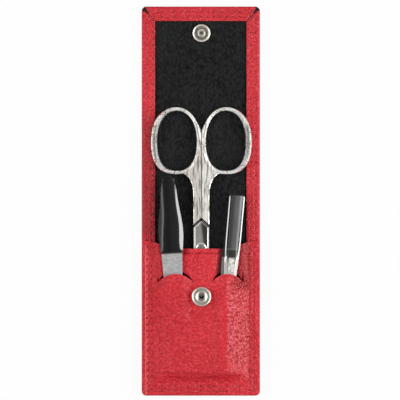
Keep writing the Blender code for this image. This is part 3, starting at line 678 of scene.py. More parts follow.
def mesh_piece(name, bm, look, body=None, smooth_angle=60):
    bmesh.ops.recalc_face_normals(bm, faces=bm.faces)
    mesh = bpy.data.meshes.new(name)
    bm.to_mesh(mesh)
    bm.free()
    made = bpy.data.objects.new(name, mesh)
    bpy.context.scene.collection.objects.link(made)
    mesh.materials.append(look.material)
    if smooth_angle:
        mesh.shade_smooth()
        mesh.set_sharp_from_angle(angle=math.radians(smooth_angle))
    note_rest(mesh)
    if body:
        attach(made, body)
    return made


def even(low, high, steps):
    """Places from low to high, both included, in even steps."""
    return [mix(low, high, k / steps) for k in range(steps + 1)]


def corner_clamp(x, y, half_x, half_y, radius):
    """Draw a grid point in to a rectangle with round corners."""
    x = min(max(x, -half_x), half_x)
    y = min(max(y, -half_y), half_y)
    over_x = abs(x) - (half_x - radius)
    over_y = abs(y) - (half_y - radius)
    if over_x > 0 and over_y > 0:
        longest = max(over_x, over_y)
        away = math.hypot(over_x, over_y)
        pull = longest / away
        x = math.copysign(half_x - radius + over_x * pull, x)
        y = math.copysign(half_y - radius + over_y * pull, y)
    return x, y


def depth_in(x, y):
    """How far a point lies inside the case's rounded outline."""
    over_x = abs(x) - (half_width - case_corner)
    over_y = abs(y) - (half_length - case_corner)
    if over_x > 0 and over_y > 0:
        return max(case_corner - math.hypot(over_x, over_y), 0.0)
    return max(min(half_width - abs(x), half_length - abs(y)), 0.0)


def grain_lift(x, y, size, depth):
    return noise.noise(Vector((x / size, y / size, grain_layer))) * depth


def cut_round(piece, middle, radius, height):
    """A punched round hole."""
    bm = bmesh.new()
    bmesh.ops.create_cone(
        bm, cap_ends=True, segments=48, radius1=radius, radius2=radius, depth=height,
        matrix=Matrix.Translation(middle),
    )
    cut_with(piece, bm)


def cut_with(piece, bm):
    """Take a closed shape away from a piece."""
    mesh = bpy.data.meshes.new("punch")
    bm.to_mesh(mesh)
    bm.free()
    punch = bpy.data.objects.new("punch", mesh)
    bpy.context.scene.collection.objects.link(punch)
    step = piece.modifiers.new("punched", "BOOLEAN")
    step.operation = "DIFFERENCE"
    step.object = punch
    bpy.context.view_layer.update()
    done = bpy.data.meshes.new_from_object(
        piece.evaluated_get(bpy.context.evaluated_depsgraph_get()))
    piece.modifiers.clear()
    piece.data = done
    note_rest(done)
    bpy.data.objects.remove(punch, do_unlink=True)


def skin(bm, rings):
    """Join rings of points into a closed form."""
    for low, high in zip(rings, rings[1:]):
        for k in range(len(low)):
            bm.faces.new((low[k - 1], low[k], high[k], high[k - 1]))
    bm.faces.new(rings[0])
    bm.faces.new(rings[-1])


# Case leather

def turned_edge(inset):
    """Drop of the folded edge at an inset from the outline."""
    if inset >= edge_round:
        return 0.0
    short = 1.0 - inset / edge_round
    return edge_round * (1.0 - math.sqrt(max(1.0 - short * short, 0.0)))


def needle_dip(at, rows, run):
    """Pull of the thread at each needle hole of rows that run along a direction."""
    best = 0.0
    for row in rows:
        off = abs(at - row)
        if off < row_reach:
            phase = (run / stitch_pitch) % 1.0
            hole = min(phase, 1.0 - phase) * stitch_pitch
            pull = row_pull_share + (1.0 - row_pull_share) * bump(hole, hole_reach)
            best = max(best, bump(off, row_reach) * pull)
    return best


def border_top(x, y):
    """Top of the turned-in border: pillowed, sewn down, mitred at the corners."""
    inset = depth_in(x, y)
    z = lip_top - turned_edge(inset)
    side = half_width - abs(x)
    end = half_length - abs(y)
    width = side_turn if side < end else end_turn
    across = min(side, end) / width
    z -= border_sink * smooth((across - border_sink_share) / (1.0 - border_sink_share))
    if x < 0 and side < side_turn:
        pressed_and_shaded = smooth((y - pressed_low_y) / pressed_low_run)
        pressed_and_shaded *= smooth((pressed_high_y - y) / pressed_high_run)
        z -= pressed_depth * pressed_and_shaded * (1.0 - side / side_turn)
    sew = 0.0
    if end > sewn_from_end:
        sew = needle_dip(x, border_rows, y)
    if y > 0 and end < end_turn and abs(x) < window_half + row_overrun:
        sew = max(sew, needle_dip(y, border_end_rows, x))
    z -= border_sew_depth * sew
    if side < side_turn + mitre_margin and end < end_turn + mitre_margin:
        z -= mitre_drop(side, end, y > 0)
    z += grain_lift(x, y, border_wave, border_wave_depth) * smooth(inset / edge_round)
    if x > 0:
        crossing = sum(share * bump(y - at, reach) for at, reach, share in crossings)
        z -= crossing_depth * min(crossing, 1.0)
    return z


def mitre_drop(side, end, gaping):
    """How far the leather goes down where two turned edges meet, with an open gap on the flap."""
    seam = side * end_turn / side_turn - end
    drop = mitre_depth * bump(seam, mitre_half)
    outer = max(side, end)
    gap = mitre_gap * smooth((mitre_gap_end - outer) / mitre_gap_run)
    if gaping and gap > 0 and outer > mitre_gap_start:
        drop += mitre_gap_depth * smooth((gap - abs(seam)) / mitre_gap_soft)
    return drop


def case_columns():
    left = [-half_width + inset for inset in side_insets]
    middle = even(-window_half, window_half, window_steps)[1:-1]
    return left + middle + [-x for x in reversed(left)]


def case_rows():
    ends = [half_length - inset for inset in end_insets]
    steps = int(2 * window_end / row_step)
    middle = even(-window_end, window_end, steps)[1:-1]
    return [-y for y in ends] + middle + list(reversed(ends))


def sheet_on_grid(bm, columns, rows, half_x, half_y, radius, height, keep=lambda i, j: True):
    """Vertices and faces of a sheet over the shared grid; keep says which cells it has."""
    made = {}

    def point(i, j):
        if (i, j) not in made:
            x, y = corner_clamp(columns[i], rows[j], half_x, half_y, radius)
            made[i, j] = bm.verts.new((x, y, height(x, y)))
        return made[i, j]

    for i in range(len(columns) - 1):
        for j in range(len(rows) - 1):
            if keep(i, j):
                bm.faces.new((point(i, j), point(i + 1, j), point(i + 1, j + 1), point(i, j + 1)))
    return made


def bridge(bm, low, high, loop):
    for a, b in zip(loop, loop[1:] + loop[:1]):
        bm.faces.new((low[a], low[b], high[b], high[a]))


def index_loop(i0, i1, j0, j1):
    return (
        [(i, j0) for i in range(i0, i1)] + [(i1, j) for j in range(j0, j1)]
        + [(i, j1) for i in range(i1, i0, -1)] + [(i0, j) for j in range(j1, j0, -1)]
    )


def make_case_leather(look):
    """One leather for the whole case: hollow round the boards, with its edges turned in to a window."""
    columns = case_columns()
    rows = case_rows()
    last_i = len(columns) - 1
    last_j = len(rows) - 1
    i0 = len(side_insets) - 1
    i1 = last_i - i0
    j0 = len(end_insets) - 1
    j1 = last_j - j0
    in_border = lambda i, j: i < i0 or i >= i1 or j < j0 or j >= j1
    underside = lambda x, y: turned_edge(depth_in(x, y))
    bm = bmesh.new()
    outer = (half_width, half_length, case_corner)
    inner = (half_width - leather, half_length - leather, case_corner / 2)
    top = sheet_on_grid(bm, columns, rows, *outer, border_top, in_border)
    low = sheet_on_grid(bm, columns, rows, *outer, underside)
    under_lip = sheet_on_grid(bm, columns, rows, *inner, lambda x, y: lip_z, in_border)
    floor = sheet_on_grid(bm, columns, rows, *inner, lambda x, y: leather)
    outside = index_loop(0, last_i, 0, last_j)
    window = index_loop(i0, i1, j0, j1)
    bridge(bm, low, top, outside)
    bridge(bm, floor, under_lip, outside)
    bridge(bm, under_lip, top, window)
    bmesh.ops.remove_doubles(bm, verts=bm.verts, dist=weld)
    bmesh.ops.dissolve_degenerate(bm, edges=bm.edges, dist=weld)
    case = mesh_piece("case_leather", bm, look, smooth_angle=70)
    cut_round(case, (snap_x, flap_snap_y, 0.0), cap_seat_radius, 2 * cap_seat_depth)
    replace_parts(case, "back_leather", "fold_leather", "flap_leather")
    bend_at_crease(case)


def bend_at_crease(piece):
    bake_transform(piece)


def lining_top_z(x, y):
    """The lining lies soft on its board: a little wave, drawn down round the flap's snap and at the
    edges.
    """
    z = lining_top - lining_slack
    z += grain_lift(x, y, lining_wave, lining_wave_depth)
    edge = min(window_half - abs(x), window_end - abs(y))
    z -= lining_edge_drop * smooth(1.0 - edge / lining_edge_run)
    snap_off = math.hypot(x - snap_x, y - flap_snap_y)
    z -= lining_snap_drop * bump(snap_off, lining_snap_reach)
    return min(z, lip_z - lining_under_lip)


def make_lining(look):
    """The black lining, under the border all round."""
    bm = bmesh.new()
    half_x = half_width - leather - lining_room
    half_y = half_length - leather - lining_room
    columns = even(-half_x, half_x, lining_columns)
    rows = even(-half_y, half_y, lining_rows)
    top = sheet_on_grid(bm, columns, rows, half_x, half_y, 0.0, lining_top_z)
    low = sheet_on_grid(bm, columns, rows, half_x, half_y, 0.0, lambda x, y: lining_low)
    bridge(bm, low, top, index_loop(0, len(columns) - 1, 0, len(rows) - 1))
    lining = mesh_piece("case_lining", bm, look, smooth_angle=50)
    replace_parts(lining, "back_lining", "fold_lining", "flap_lining")
    bend_at_crease(lining)


# Pocket front

def file_middle(y):
    return file_x - (y - file_y) * math.tan(file_tilt)


def tweezers_middle(y):
    return tweezers_x - (y - tweezers_y) * math.tan(tweezers_tilt)


def mouth_y(x):
    run = half_width - panel_inset - mouth_level_half
    return mix(mouth_middle_y, mouth_side_y, smooth((abs(x) - mouth_level_half) / run))


def slit_arc_y(x):
    for low, high in (left_slit, right_slit):
        if low < x < high:
            radius = slit_radius(low, high)
            off = x - (low + high) / 2
            return slit_y + slit_rise - radius + math.sqrt(radius * radius - off * off)
    return slit_y


def slit_radius(low, high):
    """Radius of the arc through a slit's two ends and its crown."""
    half = (high - low) / 2
    return (half * half + slit_rise * slit_rise) / (2 * slit_rise)


def in_slit(x):
    return left_slit[0] < x < left_slit[1] or right_slit[0] < x < right_slit[1]


def gape(x):
    """How far the strip's edge is drawn back from the slit, so that the slit stands open."""
    for low, high in (left_slit, right_slit):
        if low < x < high:
            share = (x - low) / (high - low)
            return slit_gape * (4 * share * (1 - share)) ** gape_power
    return 0.0


def file_cover_half(y):
    down = (file_y - y) / file_length
    narrow = along([(share, width) for width, share in file_tip_shares], down)
    return file_half * narrow + seat_gap


def arm_cover_half(y):
    return tweezers_half * along(arm_width_shares, (tweezers_y - y) / tweezers_length) + seat_gap


def band_height(x, y):
    """Underside of the strip above the slits, which goes behind the file and the tweezers."""
    file_at = file_middle(y)
    arm_at = tweezers_middle(y)
    past_handle = smooth((file_y - y) / snap_run)
    dip = mix(file_dip_z, blade_dip_z, past_handle)
    reach = mix(handle_widest_half, file_half, past_handle)
    arm_left = arm_at - tweezers_half - rear_shift - seat_gap
    return along((
        (-half_width, panel_z), (-panel_foot_x, panel_z),
        (file_at - reach - seat_gap, dip), (file_at + reach, dip),
        (-plate_reach, middle_z), (arm_left - strip_drop, middle_z), (arm_left, arm_dip_z),
        (arm_at + tweezers_half + arm_dip_margin, arm_dip_z),
        (panel_foot_x, panel_z), (half_width, panel_z),
    ), x)


def tab_height(x, y):
    """Underside of the leather below the slits, which goes over the file and the tweezers."""
    file_at = file_middle(y)
    arm_at = tweezers_middle(y)
    flat = smooth((slit_y - y) / snap_run)
    level = socket_radius + seat_gap
    sunk = smooth((y - pocket_snap_y + level + snap_sink) / snap_sink)
    middle = mix(span_z, middle_z, sunk)
    file_cover = file_cover_half(y)
    arm_cover = arm_cover_half(y)
    height = taut((
        (-half_width, panel_z), (-panel_foot_x, panel_z),
        (file_at - file_cover, file_tab_z), (file_at + file_cover, file_tab_z),
        (mix(left_slit[1], snap_x - level, flat), middle),
        (mix(right_slit[0], snap_x + level, flat), middle),
        (min(arm_at - arm_cover, ridge_x - ridge_run), arm_tab_z), (ridge_x, arm_tab_z + ridge_rise),
        (max(arm_at + arm_cover, ridge_x + ridge_run), arm_tab_z - ridge_fall),
        (panel_foot_x, panel_z), (half_width, panel_z),
    ), x)
    return mix(panel_z, height, smooth((y - foot_y) / panel_ramp))


def wrinkles(x, y):
    """Fine folds across the pocket and small pebbling all over."""
    away = smooth((window_half - abs(x)) / fold_side_run)
    away *= smooth((slit_y - folds_below_slits - y) / fold_slit_run)
    from_snap = math.hypot(x - snap_x, y - pocket_snap_y)
    away *= smooth((from_snap - fold_snap_run) / fold_snap_run)
    bent = y + fold_sway * math.sin(x / fold_sway_run) + fold_slant * abs(x)
    folds = sum(
        share * noise.noise(Vector((x / wide, bent / high, layer)))
        for wide, high, layer, share in fold_sizes)
    return fold_depth * folds * away + grain_lift(x, y, pebble, pebble_depth)


def pocket_dip(x, y):
    """How far the surface is drawn down by threads and by the hem's crease."""
    sew = needle_dip(x, pocket_rows, y) if y > pocket_end_rows[0] - row_past_end else 0.0
    sew = max(sew, needle_dip(y, pocket_end_rows, x))
    dip = pocket_sew_depth * sew
    if abs(x) < hem_half:
        dip += hem_depth * bump(y - mouth_y(x) + hem_below, hem_reach)
    return dip


def panel_sheet(bm, lift, on_top):
    """The panel's upper or lower face, as columns of points: over the tools below the slits, and under
    them above the slits."""
    edges = (
        -half_width + panel_inset, left_slit[0], left_slit[1],
        right_slit[0], right_slit[1], half_width - panel_inset,
    )
    columns = [edges[0]]
    for low, high, steps in zip(edges, edges[1:], panel_column_steps):
        columns += even(low, high, steps)[1:]
    bottom = -half_length + panel_inset
    corner = case_corner - panel_inset
    detail = lambda x, y: wrinkles(x, y) - pocket_dip(x, y) if on_top else 0.0
    tabs = []
    strips = []
    for x in columns:
        start = slit_arc_y(x) - slit_open * in_slit(x)
        heights = even(start, bottom + corner, tab_steps)
        heights += even(bottom + corner, bottom, corner_steps)[1:]
        column = []
        for y in heights:
            short = max(bottom + corner - y, 0.0)
            inset = corner - math.sqrt(max(corner * corner - short * short, 0.0))
            reach = half_width - panel_inset - inset
            px = min(max(x, -reach), reach)
            column.append(bm.verts.new((px, y, tab_height(px, y) + lift + detail(px, y))))
        tabs.append(column)
        start = slit_arc_y(x) + gape(x)
        if in_slit(x):
            column = [bm.verts.new((x, start, band_height(x, start) + lift))]
        else:
            column = [tabs[-1][0]]
        for k in range(strip_steps):
            share = (k + 1) / strip_steps
            y = mix(start, mouth_y(x), share)
            z = band_height(x, y)
            if not in_slit(x):
                z = mix(tab_height(x, y), z, smooth(share / strip_fade_share))
            column.append(bm.verts.new((x, y, z + lift + detail(x, y))))
        strips.append(column)
    for grid in (tabs, strips):
        for a, b in zip(grid, grid[1:]):
            for n in range(len(a) - 1):
                face = (a[n], a[n + 1], b[n + 1], b[n])
                bm.faces.new(face if on_top else tuple(reversed(face)))
    return tabs + strips


def make_pocket_front(look):
    """The pocket's front leather: both its faces, joined along every edge and slit."""
    bm = bmesh.new()
    upper = panel_sheet(bm, panel_leather, True)
    rim = [e for e in bm.edges if e.is_boundary]
    lower = panel_sheet(bm, 0.0, False)
    partner = {a: b for high, low in zip(upper, lower) for a, b in zip(high, low)}
    for edge in rim:
        a, b = edge.verts
        bm.faces.new((a, b, partner[b], partner[a]))
    panel = mesh_piece("pocket_front", bm, look, smooth_angle=65)
    hole_middle = (snap_x, pocket_snap_y, middle_z + panel_leather / 2)
    cut_round(panel, hole_middle, socket_hole, 4 * panel_leather)
    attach(panel, "root")
    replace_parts(panel, "front_panel")


# Thread

def thread_run(bm, points):
    """One stitch: a short round thread whose ends go down into their holes."""
    last = len(points) - 1
    rings = []
    for k, p in enumerate(points):
        way = (points[min(k + 1, last)] - points[max(k - 1, 0)]).normalized()
        side = way.cross(Vector((0, 0, 1))).normalized()
        up = side.cross(way)
        reach = thread_radius * (thread_end_share if k in (0, last) else 1.0)
        ring = []
        for n in range(thread_sides):
            t = math.tau * n / thread_sides
            ring.append(bm.verts.new(p + (side * math.cos(t) + up * math.sin(t)) * reach))
        rings.append(ring)
    skin(bm, rings)


def stitch(bm, middle, way, top):
    """A stitch lies on the surface between its two needle holes."""
    points = []
    for share, lift in stitch_shape:
        at = middle + way * (stitch_long / 2 * share)
        points.append(Vector((at.x, at.y, top(at.x, at.y) + lift)))
    thread_run(bm, points)


def stitch_row(bm, start, end, way, top):
    """Stitches between two points, on the pitch counted from the case's middle."""
    run = (end - start).dot(way)
    base = start.dot(way)
    first = math.ceil(base / stitch_pitch - stitch_phase)
    last = math.floor((base + run) / stitch_pitch - stitch_phase)
    for k in range(first, last + 1):
        at = start + way * ((k + stitch_phase) * stitch_pitch - base)
        stitch(bm, at, way, top)


def sewn_frame(name, look, body, rows, end_rows, open_y, top):
    """Two rows of stitches down both sides, from the open end, and across the closed end."""
    bm = bmesh.new()
    for x in rows:
        end_y = end_rows[0] if abs(x) > outer_row_x else end_rows[1]
        low, high = sorted((open_y, end_y - math.copysign(row_turn, end_y)))
        stitch_row(bm, Vector((x, low, 0)), Vector((x, high, 0)), Vector((0, 1, 0)), top)
    for row, y in enumerate(end_rows):
        low = rows[row] + row_turn
        high = rows[-1 - row] - row_turn
        stitch_row(bm, Vector((low, y, 0)), Vector((high, y, 0)), Vector((1, 0, 0)), top)
    made = mesh_piece(name, bm, look, body)
    return made


def make_stitches(look):
    border = sewn_frame(
        "border_stitches", look, None, border_rows, border_end_rows, border_sewn_from_y, border_top)
    bend_at_crease(border)
    sewn_frame("pocket_stitches", look, "root", pocket_rows, pocket_end_rows, pocket_sewn_to_y, panel_top)


def panel_top(x, y):
    z = tab_height(x, y) if y < slit_y else band_height(x, y)
    return z + panel_leather + wrinkles(x, y) - pocket_dip(x, y)


# Finishes

def needle_marks(look, at, side_rows, end_rows, plain):
    """Painted shade in the needle holes: dark dots on the pitch of the threads, every second one fainter.
    """
    x, y, _ = look.xyz(at)
    marks = None
    for rows, across, run in ((side_rows, x, y), (end_rows, y, x)):
        hole = (run / stitch_pitch).from_whole().fall(*needle_hole)
        strong = (run / (2 * stitch_pitch)).from_whole().fall(*every_second)
        hole = hole * (strong * (1.0 - plain) + plain)
        for row in rows:
            mark = (across - row).near(*needle_width) * hole
            marks = mark if marks is None else marks.most(mark)
    faded = look.clouds(330.0, 1.0, 0.5, at).clear_step(0.3, 0.6)
    return marks * (faded * 0.55 + 0.4)


def leather_look(name, color, dark, light, cell, roughness, drawn=(1.0, 1.0, 1.0), gloss=0.27):
    """Pebbled leather: rounded cells with fine creases between them, paler where it is rubbed."""
    look = Look(name, color, roughness, at_rest=True, Specular_IOR_Level=gloss)
    at = look.stretched(look.place(), drawn)
    wobble = look.clouds(leather_speck, 2.0, 0.6, at)
    pebbles = look.cells(1.0 / cell, "SMOOTH_F1", at, pebble_blur)
    fine = look.cells(fine_cells / cell, "F1", at)
    crease = look.cells(crease_cells / cell, "DISTANCE_TO_EDGE", at).fall(0.0, crease_width)
    broad = look.clouds(leather_cloud, 3.0, 0.55, at)
    look.valley = pebbles.clear_step(*valley_step)
    look.height = (1.0 - pebbles) * 0.7 + (1.0 - fine) * 0.22 + wobble * 0.25 - crease * 0.3
    look.body = look.layered(
        color,
        (look.valley * 0.6 + crease * 0.4, 1.0, dark),
        (broad.clear_step(0.4, 0.75), 0.35, light),
    )
    look.rough = roughness + look.valley * 0.14 - broad * 0.1
    look.put("Roughness", look.rough)
    look.put("Base Color", look.body)
    return look


def red_leather_look(name, side_rows, end_rows, plain, cell, color):
    look = leather_look(name, color, red_valley, red_rubbed, cell, 0.4)
    look.marks = needle_marks(look, look.place(), side_rows, end_rows, plain)
    # Painted highlight on the crowns of the pebbles.
    look.tops = look.valley.fall(*tops_step)
    return look


def case_red_look():
    """The case's leather: painted shade in the open mitres at the flap's corners, on the left border and
    in the needle holes, and painted highlights on the pebbles' crowns.
    """
    look = red_leather_look("case_red", border_rows, border_end_rows, 0.45, case_cell, case_color)
    at = look.place()
    x, y, z = look.xyz(at)
    # Painted shade on the left border between the fold and the pocket, where the border is sunk and faces
    # away from the light.
    pressed_and_shaded = z.clear_step(*case_top_z) * x.fall(*painted_shade_x) * y.span(*painted_shade_y)
    # Mottled painted shade, laid only inside the left border's painted shade.
    dark_mottling = look.clouds(leather_speck, 2.0, 0.6, at).clear_step(*speck_step)
    mitres = mitre_shade_marks(look, at) * z.clear_step(*mitre_z)
    look.put("Base Color", look.layered(
        look.body,
        (look.tops, 0.1, case_painted_highlight),
        (pressed_and_shaded, 0.7, case_painted_shade),
        (pressed_and_shaded * x.clear_step(*mottled_shade_x) * dark_mottling, 0.8, case_mottled_shade),
        (look.marks, 1.0, needle_hole_shade),
        (mitres, 1.0, mitre_painted_shade),
    ))
    look.put("Normal", look.relief(look.height, case_grain_depth, 0.9))
    return look


def pocket_red_look():
    """The pocket's leather: fine folds across it and a hem crease; painted shade in the folds, the hem
    crease, the hollow by the tweezers, on the sides by the slits and in the needle holes; painted
    highlights on the pebbles' crowns, the left edge's ridge and the band right of the tweezers' ridge.
    """
    look = red_leather_look("pocket_red", pocket_rows, pocket_end_rows, 0.85, pocket_cell, pocket_color)
    at = look.place()
    x, y, _ = look.xyz(at)
    folds = look.clouds(1.0, 3.0, 0.6, look.stretched(at, fold_stretch, fold_turn))
    # Painted shade in the folds, laid on their colour beside their bump.
    folded = folds.clear_step(0.3, 0.7) * (x.fall(*folded_x) * y.fall(*folded_y) * 0.85 + 0.15)
    # Painted shade in the crease of the hem below the mouth, beside the crease's bump.
    hem = (y - (mouth_middle_y - hem_below)).near(*hem_line) * abs(x).fall(*hem_ends)
    # Painted shade in the hollow left of the tweezers, between the mouth and the slit.
    middle = (right_slit[0] + right_slit[1]) / 2
    radius = slit_radius(*right_slit)
    from_arc = ((x - middle) ** 2.0 + (y - (slit_y + slit_rise - radius)) ** 2.0) ** 0.5 - radius
    beside = x - tweezers_x + (y - tweezers_y) * math.tan(tweezers_tilt)
    hollow = beside.span(*hollow_beside) * from_arc.clear_step(*hollow_over) * y.clear_step(*hollow_y)
    # Painted highlight on the ridge along the pocket's left edge, beside its bump.
    ridge = (x - (pocket_rows[0] - edge_ridge_out)).near(*edge_ridge_width) * y.fall(*pocket_mouth_y)
    # Band right of the tweezers' ridge: painted highlight in its colour, and lower roughness and deeper
    # grain where the leather is rubbed.
    rubbed = x.span(*highlight_band_x) * y.span(*highlight_band_y)
    inside_rows = abs(x).fall(*inside_rows_x)
    upper = y.clear_step(*upper_y) * (1.0 - rubbed) * inside_rows
    # Painted highlight: a soft lighter edge to the left of the highlighted band.
    stripe = x.span(*stripe_x) * y.span(*stripe_y)
    # Painted shade on the pocket's outer sides by the slits, stronger on the right.
    tabs = abs(x).clear_step(*tabs_x) * y.clear_step(*tabs_y) * inside_rows
    right_side = x.clear_step(*right_side_x)
    look.put("Base Color", look.layered(
        look.body,
        (look.tops, 0.17, pocket_painted_highlight),
        (folded, 0.16, pocket_fold_shade),
        (rubbed * (1.0 - look.valley), 0.5, pocket_band_highlight),
        (hem, 0.22, pocket_hem_shade),
        (stripe, 0.6, pocket_highlight_edge),
        (tabs * (right_side * 0.45 + 0.5), 1.0, pocket_tab_shade),
        (ridge, 0.7, pocket_ridge_highlight),
        (look.marks, 1.0, needle_hole_shade),
        (hollow, 0.85, pocket_hollow_shade),
    ))
    look.put("Roughness", look.rough - rubbed * 0.14 + upper * 0.16)
    height = look.height * (rubbed * 1.3 + 1.0) - folded * 1.3 - hem + ridge * 0.8
    look.put("Normal", look.relief(height, pocket_grain_depth, 0.9))
    return look


def mitre_shade_marks(look, at):
    """Painted shade in the open mitres at the flap's two corners, and a fainter line of it along each
    mitre seam.
    """
    x, y, _ = look.xyz(at)
    side = half_width - abs(x)
    end = half_length - y
    seam = abs(side * (end_turn / side_turn) - end)
    outer = side.most(end)
    gap = outer.fall(*mitre_mark_narrows) * mitre_mark_gap
    hole = (gap - seam).clear_step(*mitre_mark_edge) * outer.clear_step(*mitre_mark_start)
    line = seam.fall(*mitre_line_width) * outer.fall(*mitre_line_end)
    return hole.most(line * 0.85 * outer.clear_step(*mitre_line_start))


def thread_look():
    """Twisted red thread: a painted highlight on the pocket's outer left row, painted shade on its right
    rows.
    """
    look = Look("sewing_thread", (0.5, 0.012, 0.02), 0.6, at_rest=True, Sheen_Weight=0.1)
    at = look.place()
    twist = look.node(
        "TexWave", settings={"bands_direction": "DIAGONAL"},
        Vector=at, Scale=thread_twist, Distortion=0.5)
    x, y, _ = look.xyz(at)
    on_pocket = y.fall(*pocket_mouth_y)
    look.put("Base Color", look.layered(
        thread_red,
        (twist, 0.6, thread_groove),
        (on_pocket * x.fall(*highlit_thread_x), 0.8, thread_painted_highlight),
        (on_pocket * x.clear_step(*shaded_thread_x), 0.75, thread_shaded),
    ))
    look.put("Normal", look.relief(twist, thread_depth, 0.8))
    return look


def nickel_look(name, color, roughness, streaks, turn=0.0, spread=0.12, depth=polish_depth):
    """Polished nickel with streaks left by hand finishing."""
    look = Look(name, color, roughness, 1.0)
    at = look.place()
    drawn = look.clouds(1.0, 3.0, 0.6, look.stretched(at, streaks, turn))
    cloud = look.clouds(metal_cloud, 3.0, 0.6, at)
    look.put("Roughness", roughness + drawn.clear_step(*rough_stroke_step) * spread + cloud * 0.05)
    darker = tuple(dark_stroke_share * c for c in color)
    look.put("Base Color", look.blend_colors(drawn.clear_step(*dark_stroke_step) * 0.7, color, darker))
    look.put("Normal", look.relief(drawn + cloud * 0.5, depth, 0.6))
    return look


def scissors_look():
    """Hand-finished nickel: brushed shanks, polished rings with small dents, a polished plate; painted
    light and shade across the shanks, the plate's face and its bevels, a painted dark reflection on the
    rings' crests and painted shade in the plate's groove.
    """
    look = Look("scissors_nickel", (0.8, 0.77, 0.72), 0.3, 1.0)
    at = look.place()
    x, y, z = look.xyz(at)
    wavy = look.clouds(metal_cloud, 3.0, 0.6, at)
    drawn = look.clouds(1.0, 3.0, 0.7, look.stretched(at, shank_strokes, shank_stroke_turn))
    from_middle = abs(x - scissors_x)
    aside = (from_middle - ring_x) / ring_half_x
    above = (y - ring_y) / ring_half_y
    outward = (aside * aside + above * above) ** 0.5
    turned = above.maths("ARCTAN2", above, aside)
    around = look.node("CombineXYZ", X=outward * ring_strokes_across, Y=turned * ring_strokes_along)
    ringwise = look.clouds(1.0, 3.0, 0.7, around)
    # Painted dark reflection along the crest of each ring.
    crest = z.clear_step(*ring_crest_z) * abs(aside).clear_step(0.7, 0.85)
    below_apex = from_middle * plate_slope + y - plate_apex_y
    plate = below_apex.fall(*plate_edge)
    # Painted shade in the groove over the plate's chevron.
    groove = below_apex.span(*plate_groove)
    face = plate * from_middle.fall(*plate_face_x)
    bevels = plate * from_middle.clear_step(*plate_bevel_x)
    between = from_middle.fall(*between_rings_x) * y.span(*between_rings_y)
    web = (from_middle * web_slope + y).fall(*web_end).most(between)
    seam = from_middle.fall(*shank_seam_x) * (y.clear_step(*shank_seam_y) * 0.6 + 0.15)
    streak = drawn.clear_step(*shank_stroke_step)
    # Painted light and shade across the shanks: shaded on the left, lit on the right.
    bright = look.blend_colors(x.clear_step(*shank_lit_x), shank_painted_shade, shank_painted_light)
    brushed = look.blend_colors(streak, bright, shank_stroke)
    spots = look.clouds(metal_spot, 2.0, 0.6, at).clear_step(*speck_step)
    spots = spots * look.clouds(metal_patch, 1.0, 0.5, at).clear_step(*patch_step)
    beaten = look.layered(
        ring_bright,
        (ringwise.clear_step(*ring_line_step), 0.55, ring_line),
        (spots, 0.8, ring_spot),
        (crest, 0.75, ring_crest_dark_reflection),
    )
    across = x + y * 0.12
    # Painted reflection on the plate's face: lit on the left, shaded on the right.
    polished = look.blend_colors(across.clear_step(*plate_lit_x), plate_lit, plate_shaded)
    polished = look.blend_colors(wavy * 0.5, polished, plate_cloud)
    # Painted light and shade: the plate's left bevel lighter than its right.
    bevel = look.blend_colors(x.clear_step(*mm(-0.5, 0.5)), plate_bevel_painted_light, plate_bevel_painted_shade)
    look.put("Base Color", look.layered(
        beaten,
        (web, 1.0, brushed),
        (seam * (1.0 - plate), 1.0, seam_dark),
        (face, 1.0, polished),
        (bevels, 1.0, bevel),
        (groove, 1.0, groove_painted_shade),
    ))
    rough = 0.2 + web * 0.22 + streak * 0.06
    face_rough = 0.3 - across.clear_step(*plate_glossy_x) * 0.2
    look.put("Roughness", rough * (1.0 - face) + face * face_rough)
    height = drawn * web * 0.5 + ringwise * 0.2 * (1.0 - web) + wavy * 0.4
    look.put("Normal", look.relief(height, scissors_depth, 0.9))
    return look


